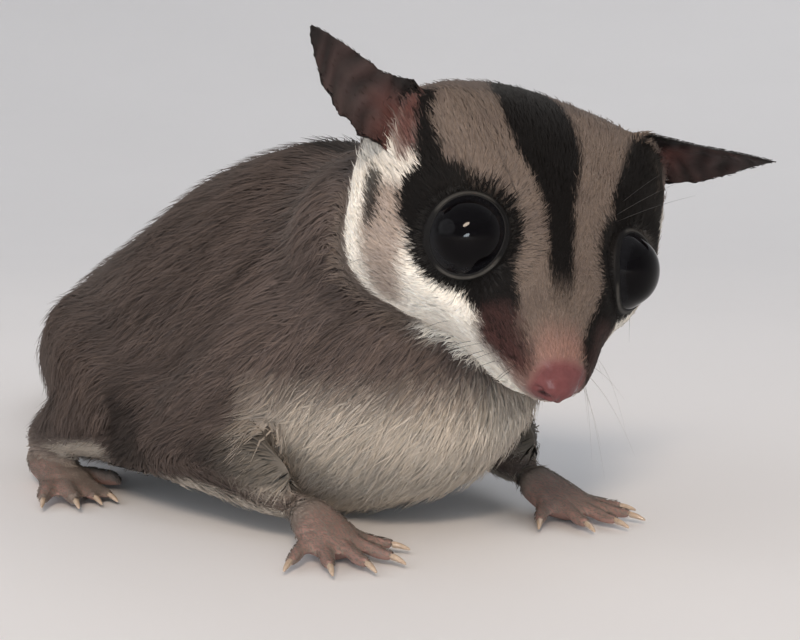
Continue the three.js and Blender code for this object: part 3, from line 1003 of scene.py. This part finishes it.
def two_tones(tree, shader, scale, dark, light):
    """Base colour between two tones by a noise"""
    ramp = tree.nodes.new("ShaderNodeValToRGB")
    ramp.color_ramp.elements[0].color = (*dark, 1)
    ramp.color_ramp.elements[1].color = (*light, 1)
    tree.links.new(noise(tree, scale), ramp.inputs["Fac"])
    tree.links.new(ramp.outputs["Color"], shader.inputs["Base Color"])


def skin_material():
    """Skin with pores; wet and smooth where the wet attribute says so"""
    material, tree, shader = new_material("glider_skin", Specular_IOR_Level=0.2, Subsurface_Weight=0.05)
    shader.inputs["Subsurface Radius"].default_value = (0.001, 0.0004, 0.0003)
    shader.inputs["Subsurface Scale"].default_value = 0.6
    uneven_colour(tree, shader, attribute(tree, "paint").outputs["Color"], 900, 0.75, 1.25)
    wet = attribute(tree, "wet").outputs["Fac"]
    tree.links.new(ranged(tree, wet, 0.62, 0.24), shader.inputs["Roughness"])
    pores = tree.nodes.new("ShaderNodeBump")
    pores.inputs["Strength"].default_value = 0.35
    pores.inputs["Distance"].default_value = 0.0001
    tree.links.new(noise(tree, 4200, detail=5), pores.inputs["Height"])
    tree.links.new(pores.outputs["Normal"], shader.inputs["Normal"])
    return material


def coat_material():
    """Fur: the tufts' own colours with fine unevenness along them"""
    material, tree, shader = new_material(
        "glider_coat", Roughness=0.65, Specular_IOR_Level=0.1, Sheen_Weight=0.06, Sheen_Roughness=0.5,
    )
    shader.inputs["Sheen Tint"].default_value = (0.95, 0.9, 0.85, 1)
    uneven_colour(tree, shader, attribute(tree, "paint").outputs["Color"], 2600, 0.8, 1.2)
    return material


def eye_material():
    """Nearly black, wet eye with a faint blue-grey ring"""
    material, tree, shader = new_material("glider_eye", Roughness=0.05, IOR=1.33, Specular_IOR_Level=0.22)
    mixed = tree.nodes.new("ShaderNodeMix")
    mixed.data_type = "RGBA"
    mixed.inputs["A"].default_value = (0.0016, 0.0013, 0.0018, 1)
    mixed.inputs["B"].default_value = (0.042, 0.045, 0.053, 1)
    tree.links.new(attribute(tree, "ring").outputs["Fac"], mixed.inputs["Factor"])
    uneven_colour(tree, shader, mixed.outputs["Result"], 1500, 0.4, 1.6)
    return material


def horn_material():
    """Claws: pale horn with darker patches"""
    material, tree, shader = new_material(
        "glider_horn", Roughness=0.32, Specular_IOR_Level=0.5, Coat_Weight=0.2,
        Subsurface_Weight=0.15, Subsurface_Scale=0.3,
    )
    shader.inputs["Subsurface Radius"].default_value = (0.001, 0.0007, 0.0005)
    two_tones(tree, shader, 1800, (0.25, 0.17, 0.12), (0.62, 0.5, 0.38))
    return material


def whisker_material():
    """Whiskers: their own colours, slightly uneven"""
    material, tree, shader = new_material("glider_whisker", Roughness=0.4, Specular_IOR_Level=0.5)
    uneven_colour(tree, shader, attribute(tree, "paint").outputs["Color"], 700, 0.8, 1.2)
    return material


def floor_material():
    """Pale, matt and faintly clouded floor"""
    material, tree, shader = new_material("pale_floor", Roughness=0.85, Specular_IOR_Level=0.2)
    two_tones(tree, shader, 6, (0.76, 0.76, 0.77), (0.80, 0.80, 0.81))
    return material


def smooth_shade(piece):
    """Shades a piece's faces smooth"""
    piece.data.polygons.foreach_set("use_smooth", np.ones(len(piece.data.polygons), bool))


class GLIDER_OT_skin(bpy.types.Operator):
    """One skin over all flesh, lying inside it by the coat's depth"""

    bl_idname = "glider.skin"
    bl_label = "Skin"

    def execute(self, context):
        settings = context.scene.glider_coat
        random = np.random.default_rng(settings.seed)
        skin = joined_flesh()
        apply_modifier(skin, "REMESH", mode="VOXEL", voxel_size=settings.voxel)
        mesh = skin.data
        largest_piece(mesh)
        for reach in EYE_REFINES:
            refine(mesh, near_eyes(reach))
        refine(mesh, near_nose)

        places = corners_of(mesh)
        average = averager(edges_of(mesh), len(places))
        weights = part_weights(places, average, FIRST_BLEND, random)
        sharp = smoothstep(0, 0.5, summed(weights, "ear", "hand", "foot", "nose"))
        places = relax(places, average, 0.5, 4)
        places = relax(places, average, (0.6 * (1 - sharp))[:, None], 22)
        set_corners(mesh, places)
        depth = GROWTH + coat_depth(weights, to_head(places))
        places = places - normals_of(mesh) * depth[:, None]
        places = relax(places, average, 0.4, 3)
        places = open_eyes(places)
        set_corners(mesh, places)
        places = shape_nose(places, normals_of(mesh))
        places = shape_ears(places, normals_of(mesh), weights)
        places[:, 2] = np.maximum(places[:, 2], SKIN_FLOOR)
        set_corners(mesh, places)

        triangles = len(triangles_of(mesh))
        share = min(1.0, settings.skin_triangles / triangles)
        apply_modifier(skin, "DECIMATE", ratio=share, use_collapse_triangulate=True)
        mesh = skin.data
        places = corners_of(mesh)
        average = averager(edges_of(mesh), len(places))
        weights = part_weights(places, average, LAST_BLEND, random)
        normals = normals_of(mesh)
        set_colours(mesh, "paint", skin_colours(places, normals, weights))
        set_value(mesh, "wet", bare_share(places, weights) * (1 - lid_share(places, 30, 20)))
        mesh.materials.append(skin_material())
        smooth_shade(skin)
        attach(skin, "root")
        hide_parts(*FLESH)
        return {"FINISHED"}


def lie_directions(places, weights):
    """Which way the coat lies at each place"""
    local = to_head(places)
    sign = np.where(places[:, 1] >= 0, 1.0, -1.0)
    flow = np.zeros_like(places)
    for name, vector in LIE.items():
        ahead, out, up = vector
        direction = np.stack((np.full(len(places), ahead), sign * out, np.full(len(places), up)), axis=1)
        flow += weights[:, PART[name]][:, None] * unit(direction)
    back = unit(from_head(unit(local - NOSE_TIP - np.array((0, 0, -1.5)))))
    flow += summed(weights, "head", "jaw", "nose")[:, None] * back
    _, tangent, _ = on_tail(places)
    flow += weights[:, PART["tail"]][:, None] * tangent
    for side, ear_sign in SIDES.items():
        axis = unit(from_head(np.array(EAR_TIPS[side], float) - np.array(EAR_ROOTS[side], float)))
        there = weights[:, PART["ear"]] * (np.sign(local[:, 1]) == ear_sign)
        flow += there[:, None] * axis
    for side in SIDES:
        distance, past = eye_polar(places, side)
        outward = unit(places - eye_centre(side) - eye_radius() * eye_axis(side))
        near = (1 - smoothstep(12, 42, past)) * (distance < eye_radius() + 4 * MM)
        flow = blend(flow, outward, 0.85 * near)
    return flow


class Roots:
    """Where tufts grow: place, skin normal, part weights and lie"""

    def __init__(self, skin, random):
        mesh = skin.data
        corner = corners_of(mesh)
        normal = normals_of(mesh)
        triangle = triangles_of(mesh)
        average = averager(edges_of(mesh), len(corner))
        weights = part_weights(corner, average, LAST_BLEND, random)
        tufts = coat_density(corner, normal, weights)
        area = triangle_areas(corner[triangle]) / MM ** 2
        edges = np.cumsum(area * tufts[triangle].mean(1))
        count = int(edges[-1])
        pick = np.searchsorted(edges, (np.arange(count) + random.random(count)) * edges[-1] / count)
        pick = np.minimum(pick, len(triangle) - 1)
        one, two = spread(random, count)
        shares = np.stack((1 - one - two, one, two), axis=1)
        mix = lambda values: np.einsum("ij,ijk->ik", shares, values[triangle[pick]])
        self.place = mix(corner)
        self.normal = unit(mix(normal))
        self.weights = mix(weights)
        flow = mix(lie_directions(corner, weights))
        flow -= np.sum(flow * self.normal, axis=1)[:, None] * self.normal
        self.lie = unit(flow)
        self.corner, self.triangle = corner, triangle


def ruff_share(local):
    """The longer, looser fur behind each ear"""
    gap = (mirrored(local) - np.array((-11.0, 17.5, 3.0))) / np.array((3.5, 4.0, 4.5))
    return np.exp(-np.sum(gap ** 2, axis=1))


def coat_density(places, normals, weights):
    """Tufts on a square millimetre at each corner"""
    local = to_head(places)
    tufts = weights @ np.array([COATS[name][3] for name in PARTS])
    tufts = tufts + weights[:, PART["head"]] * 10 * smoothstep(-8, 8, local[:, 0])
    ear = weights[:, PART["ear"]]
    for side, sign in SIDES.items():
        along, across, _, facing = ear_place(local, side)
        inner = smoothstep(0.0, 0.3, np.sum(normals * from_head(facing), axis=1))
        inner = inner * ear * (np.sign(local[:, 1]) == sign)
        sparse = inner * smoothstep(0.08, 0.2, along) * (1 - 0.6 * smoothstep(3.2, 4.6, np.abs(across)))
        tufts = tufts * (1 - 0.93 * sparse)
    paws = summed(weights, "hand", "foot")
    tufts = tufts * (1 - paws * smoothstep(0.1, -0.4, normals[:, 2]))
    tufts = tufts * (1 - 0.75 * smoothstep(0.75, 1.0, -normals[:, 2]) * (places[:, 2] < 3 * MM))
    bare = bare_share(places, weights)
    tufts = tufts * (1 - smoothstep(0.2, 0.6, bare)) * (1 - 0.75 * ear_front(local))
    for side in SIDES:
        distance, past = eye_polar(places, side)
        hidden = (past < 2.5) & (distance < eye_radius() + 1.5 * MM)
        tufts = np.where(hidden, 0, tufts)
    return tufts * bpy.context.scene.glider_coat.density * 1.0


def surface_finder(roots):
    """A function that gives the nearest skin places and normals of points"""
    tree = BVHTree.FromPolygons(roots.corner.tolist(), roots.triangle.tolist())

    def find(points):
        places = np.empty_like(points)
        normals = np.empty_like(points)
        for index, point in enumerate(points):
            places[index], normals[index], _, _ = tree.find_nearest(point)
        return places, normals
    return find


# A tuft's widest ring: across and above the skin, in widths; its root and its tip are points
SECTION = np.array(((-0.5, -0.05), (0.5, -0.05), (0.0, 0.4)))
TUFT_FACES = np.array(((0, 2, 1), (0, 3, 2), (0, 1, 3), (1, 2, 4), (2, 3, 4), (3, 1, 4)))
# How light each of a tuft's corners is, and how far along it is widest
ROOT_TO_TIP = np.array((0.88, 0.98, 0.98, 1.0, 1.04))
MIDDLE = 0.42
# Size of a tuft's patch of the OFBake map, and where the tuft's corners lie in it
PATCH = 0.003
PATCH_CORNERS = np.array(((0, -0.5), (-0.5, 0), (0.5, 0), (0, 0.05), (0, 0.5))) * PATCH
# Most tufts in a piece
PIECE_TUFTS = 32000
# Lowest place of tufts and whiskers
FLOOR = 0.03 * MM
# Spread of the tufts' turn, curl and tone, the share of longer guard tufts, and how deep roots start
TURN_SPREAD = 0.14
CURL_SPREAD = 0.07
TONE_SPREAD = 0.09
GUARD_SHARE = 0.04
ROOT_DEPTH = 0.12 * MM


def tuft_piece(name, tufts, chosen, chart):
    """One coat piece from the chosen tufts, each with its patch of the OFBake map"""
    count = len(chosen)
    root, middle, tip = (tufts[key][chosen] for key in ("root", "middle", "tip"))
    width = tufts["width"][chosen]
    up = tufts["normal"][chosen]
    side = unit(np.cross(up, tip - root))
    corners = np.empty((count, 5, 3))
    corners[:, 0] = root
    for corner, (across, rise) in enumerate(SECTION):
        corners[:, 1 + corner] = middle + width[:, None] * (across * side + rise * up)
    corners[:, 4] = tip
    corners[:, :, 2] = np.maximum(corners[:, :, 2], FLOOR)

    faces = (TUFT_FACES[None] + 5 * np.arange(count)[:, None, None]).reshape(-1, 3)
    mesh = bpy.data.meshes.new(name)
    mesh.vertices.add(5 * count)
    mesh.vertices.foreach_set("co", corners.astype(np.float32).ravel())
    mesh.loops.add(faces.size)
    mesh.loops.foreach_set("vertex_index", faces.astype(np.int32).ravel())
    mesh.polygons.add(len(faces))
    mesh.polygons.foreach_set("loop_start", np.arange(0, faces.size, 3, dtype=np.int32))
    mesh.update(calc_edges=True)
    mesh.polygons.foreach_set("use_smooth", np.ones(len(faces), bool))

    paint = tufts["paint"][chosen][:, None, :] * ROOT_TO_TIP[None, :, None]
    set_colours(mesh, "paint", np.clip(paint, 0, 1).reshape(-1, 3))
    corner_uv = (chart[:, None, :] * (1 - 2 * PATCH) + PATCH + PATCH_CORNERS[None]).reshape(-1, 2)
    layer = mesh.uv_layers.new(name="OFBake")
    layer.data.foreach_set("uv", corner_uv[faces.ravel()].astype(np.float32).ravel())

    shading = np.repeat(up[:, None, :], 5, axis=1)
    for corner, (across, rise) in enumerate(SECTION):
        shading[:, 1 + corner] = 0.84 * up + 0.16 * unit(across * side + (rise - 0.1) * up)
    mesh.normals_split_custom_set_from_vertices(unit(shading).reshape(-1, 3).tolist())

    piece = add_object(name, mesh)
    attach(piece, "root")
    return piece


def part_angle(offset, axis):
    """The way round an axis, 0 to 1, starting below it"""
    axis = unit(np.asarray(axis, float))
    side = unit(np.cross(axis, np.array((0.0, 0.0, 1.0))))
    above = np.cross(side, axis)
    return 0.5 + np.arctan2(np.sum(offset * side, axis=-1), np.sum(offset * above, axis=-1)) / (2 * math.pi)


def charts(tufts):
    """Groups of tufts: name, their numbers, and where each lies on an unwrap round its part's own line"""
    place, part = tufts["root"], tufts["part"]
    local = to_head(place)
    is_part = lambda *names: np.isin(part, [PART[name] for name in names])

    chosen = np.flatnonzero(is_part("head", "jaw", "nose"))
    round_head = 0.5 + np.arctan2(local[chosen, 1], local[chosen, 2]) / (2 * math.pi)
    yield "coat_head", chosen, np.stack((round_head, local[chosen, 0]), axis=1)

    chosen = np.flatnonzero(is_part("neck", "trunk"))
    offset = place[chosen] - np.array((0, 0, 18 * MM))
    yield "coat_body", chosen, np.stack((part_angle(offset, (1, 0, 0)), place[chosen, 0]), axis=1)

    limbs = ("upper_arm", "forearm", "thigh", "shank", "membrane", "hand", "foot")
    chosen = np.flatnonzero(is_part(*limbs))
    flat = np.zeros((len(chosen), 2))
    columns = [(name, side) for name in limbs for side in SIDES]
    for column, (name, side) in enumerate(columns):
        here = (part[chosen] == PART[name]) & ((place[chosen, 1] >= 0) == (SIDES[side] > 0))
        if here.any():
            low, high = (np.array(corner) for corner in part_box(f"{name}_{side}"))
            offset = place[chosen[here]] - (low + high) / 2
            share = (place[chosen[here], 0] - low[0]) / (high[0] - low[0])
            turn = (column + part_angle(offset, (1, 0, 0))) / len(columns)
            flat[here] = np.stack((turn, np.clip(share, 0, 1)), axis=1)
    yield "coat_limbs", chosen, flat

    chosen = np.flatnonzero(is_part("tail"))
    share, direction, offset = on_tail(place[chosen])
    yield "coat_tail", chosen, np.stack((part_angle(offset, direction), share), axis=1)

    chosen = np.flatnonzero(is_part("ear"))
    flat = np.zeros((len(chosen), 2))
    for column, (side, sign) in enumerate(SIDES.items()):
        here = np.sign(local[chosen, 1]) == sign
        along, across, front, _ = ear_place(local[chosen[here]], side)
        back = front < 0.3 * (across / 4) ** 2
        sideways = (2 * column + back + np.clip(0.5 + across / 12, 0, 0.99)) / 4
        flat[here] = np.stack((sideways, along), axis=1)
    yield "coat_ears", chosen, flat


def normalised(flat):
    """Map places spread over 0 to 1 both ways"""
    low, high = flat.min(0), flat.max(0)
    return (flat - low) / np.maximum(high - low, 1e-9)


class GLIDER_OT_coat(bpy.types.Operator):
    """Tufts of fur over the skin, following the lie of the coat"""

    bl_idname = "glider.coat"
    bl_label = "Coat"

    def execute(self, context):
        settings = context.scene.glider_coat
        random = np.random.default_rng(settings.seed + 1)
        roots = Roots(bpy.data.objects["skin"], random)
        count = len(roots.place)
        local = to_head(roots.place)
        table = np.array([COATS[name] for name in PARTS])
        depth = coat_depth(roots.weights, local) * (1 - 0.4 * ear_front(local)) + 0.08 * MM
        face = roots.weights[:, PART["head"]] * smoothstep(-14, 11, local[:, 0])
        paws = summed(roots.weights, "hand", "foot")
        legs = summed(roots.weights, "forearm", "shank")
        wrist = wrist_share(roots.place)
        length = roots.weights @ table[:, 1] * MM * settings.length * (1 - 0.55 * face)
        length *= 1 - 0.35 * legs * wrist + 0.9 * paws * (1 - wrist)
        width = roots.weights @ table[:, 2] * MM * (1 - 0.3 * face)
        ruff = ruff_share(local) * roots.weights[:, PART["head"]]
        length *= 1 + 0.9 * ruff
        length *= random.uniform(0.75, 1.2, count)
        width *= random.uniform(0.7, 1.25, count)

        cross = np.cross(roots.normal, roots.lie)
        turn = random.normal(0, TURN_SPREAD, count)
        heading = unit(np.cos(turn)[:, None] * roots.lie + np.sin(turn)[:, None] * cross)
        curl = random.normal(0, CURL_SPREAD, count)
        find = surface_finder(roots)
        middle, middle_normal = find(roots.place + heading * (MIDDLE * length)[:, None])
        tip_aim = roots.place + heading * length[:, None] + cross * (curl * length)[:, None]
        tip, tip_normal = find(tip_aim)
        level = np.sqrt(random.uniform(0.2, 1.0, count))
        guard = random.random(count) < GUARD_SHARE
        level = np.where(guard, 1.35, level) * (1 + 1.6 * ruff)
        width = np.where(guard, 0.55 * width, width)
        tufts = {
            "root": roots.place - roots.normal * ROOT_DEPTH,
            "middle": middle + middle_normal * (depth * level * 0.72)[:, None],
            "tip": tip + tip_normal * (depth * level)[:, None],
            "width": width,
            "normal": roots.normal,
            "part": roots.weights.argmax(1),
        }
        tone = np.exp(random.normal(0, TONE_SPREAD - 0.03 * face))[:, None]
        warmth = random.normal(0, 0.015, count)[:, None] * np.array((1.0, 0.2, -1.0))
        jitter = random.normal(0, 0.22 * MM, (count, 3))
        sampled = roots.place + heading * (0.5 * length)[:, None] + jitter
        paint = markings(sampled, roots.normal, roots.weights)
        tufts["paint"] = np.clip(paint * tone * (1 + warmth), 0, 1)

        material = coat_material()
        for name, chosen, flat in charts(tufts):
            order = np.argsort(flat[:, 1], kind="stable")
            pieces = max(1, math.ceil(len(chosen) / PIECE_TUFTS))
            for index, share in enumerate(np.array_split(order, pieces)):
                chart = normalised(flat[share])
                piece = tuft_piece(f"{name}_{index + 1}", tufts, chosen[share], chart)
                piece.data.materials.append(material)
        return {"FINISHED"}


# How far the front of an eye bulges, and the side of it where its ring is palest, in the head's frame
EYE_BULGE = 0.28 * MM
EYE_RING_SIDE = (-0.75, 0.0, -0.66)


class GLIDER_OT_eyes(bpy.types.Operator):
    """Wet black eyes with a bulging front and a faint ring"""

    bl_idname = "glider.eyes"
    bl_label = "Eyes"

    def execute(self, context):
        material = eye_material()
        for side in SIDES:
            radius = eye_radius()
            axis = eye_axis(side)
            deselect()
            bpy.ops.mesh.primitive_uv_sphere_add(
                segments=96, ring_count=64, radius=radius, location=(0, 0, 0),
            )
            piece = context.object
            piece.name = piece.data.name = f"eyeball_{side}"
            turn = np.array(Vector((0, 0, 1)).rotation_difference(Vector(axis)).to_matrix())
            places = corners_of(piece.data)
            height = places[:, 2] / radius
            places = places + unit(places) * (EYE_BULGE * smoothstep(0.60, 0.95, height))[:, None]
            turned = places @ turn.T
            behind = unit(turned) @ unit(from_head(EYE_RING_SIDE))
            ring = smoothstep(0.75, 0.62, height) * (0.1 + 0.9 * smoothstep(0.1, 0.75, behind))
            set_value(piece.data, "ring", ring)
            set_corners(piece.data, turned + eye_centre(side))
            piece.data.materials.append(material)
            smooth_shade(piece)
            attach(piece, "root")
            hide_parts(f"eye_{side}")
        return {"FINISHED"}


class GLIDER_OT_claws(bpy.types.Operator):
    """Curved claws, smoothed from the solids"""

    bl_idname = "glider.claws"
    bl_label = "Claws"

    def execute(self, context):
        material = horn_material()
        for paw in ("hand_left", "hand_right", "foot_left", "foot_right"):
            nodes = [name for name in NODES if name.startswith(f"claw_{paw}_")]
            claws = join([copy_of(name) for name in nodes], f"claws_{paw}")
            apply_modifier(claws, "SUBSURF", levels=2, render_levels=2, subdivision_type="CATMULL_CLARK")
            claws.data.materials.append(material)
            smooth_shade(claws)
            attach(claws, "root")
            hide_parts(*nodes)
        return {"FINISHED"}


WHISKER_SIDES = 4
WHISKER_STEPS = 10
# Radii at the root of the whiskers of muzzle and brow, and of the cheek's
WHISKER_RADIUS = 0.03 * MM
CHEEK_RADIUS = 0.028 * MM
WHISKER_SEED = 31
# Linear colours of the dark whiskers, and of the left muzzle whiskers painted pale as a painted sheen where
# they catch the light
DARK_WHISKER = (0.02, 0.017, 0.016)
PAINTED_SHEEN_WHISKER = (0.3, 0.28, 0.26)


def whisker(root, heading, droop, length, radius):
    """Corners and faces of one tapering, bent whisker; root and heading are in the head's frame"""
    heading = unit(from_head(heading))
    share = np.linspace(0, 1, WHISKER_STEPS)
    line = head_point(root) + np.outer(share * length, heading)
    line = line + np.outer(share ** 2 * length, (0, 0, -droop))
    tangent = unit(np.gradient(line, axis=0))
    side = unit(np.cross(tangent, (0.0, 0.0, 1.0)))[:, None]
    above = np.cross(side[:, 0], tangent)[:, None]
    angle = (np.arange(WHISKER_SIDES) * 2 * math.pi / WHISKER_SIDES)[None, :, None]
    size = (radius * (1 - 0.85 * share))[:, None, None]
    corners = (line[:, None] + size * (side * np.cos(angle) + above * np.sin(angle))).reshape(-1, 3)
    corners = np.concatenate((corners, line[:1], line[-1:] + tangent[-1:] * radius))
    last = (WHISKER_STEPS - 1) * WHISKER_SIDES
    base, tip = len(corners) - 2, len(corners) - 1
    faces = []
    for corner in range(WHISKER_SIDES):
        following = (corner + 1) % WHISKER_SIDES
        faces.append((base, corner, following))
        faces.append((tip, last + following, last + corner))
        for low in range(0, last, WHISKER_SIDES):
            high = low + WHISKER_SIDES
            faces.append((low + corner, high + corner, high + following, low + following))
    return corners, faces


def whisker_rows(longest, random):
    """Root, heading, droop, length, radius and whether it is dark, for each whisker"""
    for sign in SIDES.values():
        for row in range(2):
            for column in range(4):
                out = 3.4 + 0.6 * column + 0.4 * row
                root = (14.2 - 1.4 * column - 0.4 * row, sign * out, -4.6 - 1.5 * row)
                drop = -0.3 - 0.4 * row + random.normal(0, 0.15)
                heading = (0.1 - 0.32 * column + random.normal(0, 0.14), sign * (1.0 - 0.08 * column), drop)
                length = longest * (0.35 + 0.1 * column) * random.uniform(0.6, 1.15)
                # The left side's muzzle whiskers are painted pale, a painted sheen; all others are dark
                yield root, heading, random.uniform(0.3, 0.9), length, WHISKER_RADIUS, sign < 0
        for index in range(3):
            heading = (0.1 - 0.3 * index, sign * 0.9, 1.0)
            yield (1.5 - index, sign * 6.6, 7.4), heading, 0.1, 0.35 * longest, WHISKER_RADIUS, True
        heading = (-0.6, sign * 0.7, -0.8)
        yield (-1.5, sign * 17, -5.5), heading, 0.3, 0.28 * longest, CHEEK_RADIUS, True


class GLIDER_OT_whiskers(bpy.types.Operator):
    """Long whiskers of the muzzle and a few over each eye and cheek"""

    bl_idname = "glider.whiskers"
    bl_label = "Whiskers"

    def execute(self, context):
        longest = context.scene.glider_face.whisker_length
        corners, faces, paint, start = [], [], [], 0
        for *shape, is_dark in whisker_rows(longest, np.random.default_rng(WHISKER_SEED)):
            places, sides = whisker(*shape)
            places[:, 2] = np.maximum(places[:, 2], FLOOR)
            corners.append(places)
            faces += [tuple(start + corner for corner in side) for side in sides]
            paint.append(np.tile(DARK_WHISKER if is_dark else PAINTED_SHEEN_WHISKER, (len(places), 1)))
            start += len(places)
        mesh = bpy.data.meshes.new("whiskers")
        mesh.from_pydata(np.concatenate(corners).tolist(), [], faces)
        set_colours(mesh, "paint", np.concatenate(paint))
        piece = add_object("whiskers", mesh)
        select([piece])
        bpy.ops.object.mode_set(mode="EDIT")
        bpy.ops.mesh.select_all(action="SELECT")
        bpy.ops.mesh.normals_make_consistent(inside=False)
        bpy.ops.object.mode_set(mode="OBJECT")
        mesh.materials.append(whisker_material())
        smooth_shade(piece)
        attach(piece, "root")
        return {"FINISHED"}


# The way from the glider to the camera, and the camera's place
CAMERA_BACK = Vector((0.8147, -0.5704, 0.1045))
CAMERA_PLACE = Vector((0.1967, -0.1214, 0.0483))
# How far the floor lies below what rests on it
FLOOR_DROP = 0.02 * MM
# How high the floor's rim rises
BOWL_RISE = 1.8
# Turn of the two main lights about the way they point
LIGHT_TILT = math.radians(35)
# Lights: name, place from the eyes, width, height, setting and share of its power, tint, tilt
LIGHTS = (
    ("key", (0.7205, -0.5753, 0.616), 0.34, 0.14, "key", 0.66, (1, 0.82, 0.66), LIGHT_TILT),
    ("low", (0.858, -0.6842, 0.11), 0.36, 0.15, "key", 0.44, (0.84, 0.93, 1), LIGHT_TILT),
    ("fill", (-0.25, -1.15, 0.514), 1.6, 0.9, "fill", 1.0, (0.95, 0.97, 1), 0.0),
    ("back", (-0.65, 1.0, 0.964), 1.2, 0.8, "fill", 0.7, (1, 0.99, 0.97), 0.0),
)


def soft_light(name, offset, width, height, power, tint, tilt):
    """An oval light at an offset from the eyes, which points at them"""
    data = bpy.data.lights.new(name, "AREA")
    data.shape = "ELLIPSE"
    data.size, data.size_y = width, height
    data.energy = power
    data.color = tint
    lamp = add_object(name, data)
    lamp.location = Vector(HEAD_ORIGIN) + Vector(offset)
    lamp.rotation_mode = "QUATERNION"
    lamp.rotation_quaternion = (-Vector(offset)).to_track_quat("-Z", "Y") @ Quaternion((0, 0, 1), tilt)


def stage_bowl(flat):
    """A flat floor whose rim curves up all round; flat is the radius of its level part"""
    profile = [(0.0, 0.0, 0.0)]
    for turn in np.linspace(0, math.pi / 2, 28):
        profile.append((flat + BOWL_RISE * math.sin(turn), 0.0, BOWL_RISE * (1 - math.cos(turn))))
    mesh = bpy.data.meshes.new("floor")
    mesh.from_pydata(profile, [(index, index + 1) for index in range(len(profile) - 1)], [])
    floor = add_object("floor", mesh)
    apply_modifier(
        floor, "SCREW", axis="Z", angle=2 * math.pi, steps=96, render_steps=96,
        use_merge_vertices=True, merge_threshold=1e-5, use_normal_calculate=True,
    )
    places = corners_of(floor.data)
    places[:, 2] -= FLOOR_DROP
    set_corners(floor.data, places)
    smooth_shade(floor)
    return floor


class GLIDER_OT_stage(bpy.types.Operator):
    """Pale floor, soft studio light and the camera"""

    bl_idname = "glider.stage"
    bl_label = "Stage"

    def execute(self, context):
        settings = context.scene.glider_stage
        scene = context.scene
        floor = stage_bowl(settings.floor_radius)
        floor.data.materials.append(floor_material())

        world = bpy.data.worlds.new("pale_room")
        world.use_nodes = True
        nodes = world.node_tree.nodes
        background = nodes.get("Background") or nodes.new("ShaderNodeBackground")
        background.inputs["Color"].default_value = (0.80, 0.81, 0.84, 1)
        background.inputs["Strength"].default_value = settings.sky
        scene.world = world

        for name, offset, width, height, setting, share, tint, tilt in LIGHTS:
            soft_light(name, offset, width, height, share * getattr(settings, setting), tint, tilt)

        data = bpy.data.cameras.new("camera")
        data.lens = settings.lens
        data.sensor_width = 36
        data.clip_start = 0.005
        camera = add_object("camera", data)
        camera.location = CAMERA_PLACE
        camera.rotation_mode = "QUATERNION"
        camera.rotation_quaternion = (-CAMERA_BACK).to_track_quat("-Z", "Y")
        scene.camera = camera
        scene.view_settings.view_transform = "Standard"
        return {"FINISHED"}


class GLIDER_PT_panel(bpy.types.Panel):
    """Lists the glider's pieces and their settings"""

    bl_label = "Sugar glider"
    bl_idname = "GLIDER_PT_panel"
    bl_space_type = "VIEW_3D"
    bl_region_type = "UI"
    bl_category = "Glider"

    def draw(self, context):
        layout = self.layout
        for operator in OPERATORS:
            layout.operator(operator.bl_idname)
        for name in SETTINGS:
            group = getattr(context.scene, name)
            for setting in group.__annotations__:
                layout.prop(group, setting)


OPERATORS = (
    GLIDER_OT_skin,
    GLIDER_OT_coat,
    GLIDER_OT_eyes,
    GLIDER_OT_claws,
    GLIDER_OT_whiskers,
    GLIDER_OT_stage,
)
SETTINGS = {
    "glider_colours": GliderColours,
    "glider_coat": GliderCoat,
    "glider_face": GliderFace,
    "glider_stage": GliderStage,
}


def register():
    """Registers the classes and adds the settings to the scene"""
    for kind in (*SETTINGS.values(), *OPERATORS, GLIDER_PT_panel):
        bpy.utils.register_class(kind)
    for name, kind in SETTINGS.items():
        setattr(bpy.types.Scene, name, PointerProperty(type=kind))


def unregister():
    """Takes the settings and the classes away again"""
    for name in SETTINGS:
        delattr(bpy.types.Scene, name)
    for kind in reversed((*SETTINGS.values(), *OPERATORS, GLIDER_PT_panel)):
        bpy.utils.unregister_class(kind)


def main():
    """Builds every piece and the stage in order"""
    register()
    bpy.ops.glider.skin()
    bpy.ops.glider.coat()
    bpy.ops.glider.eyes()
    bpy.ops.glider.claws()
    bpy.ops.glider.whiskers()
    bpy.ops.glider.stage()


if __name__ == "__main__":
    main()
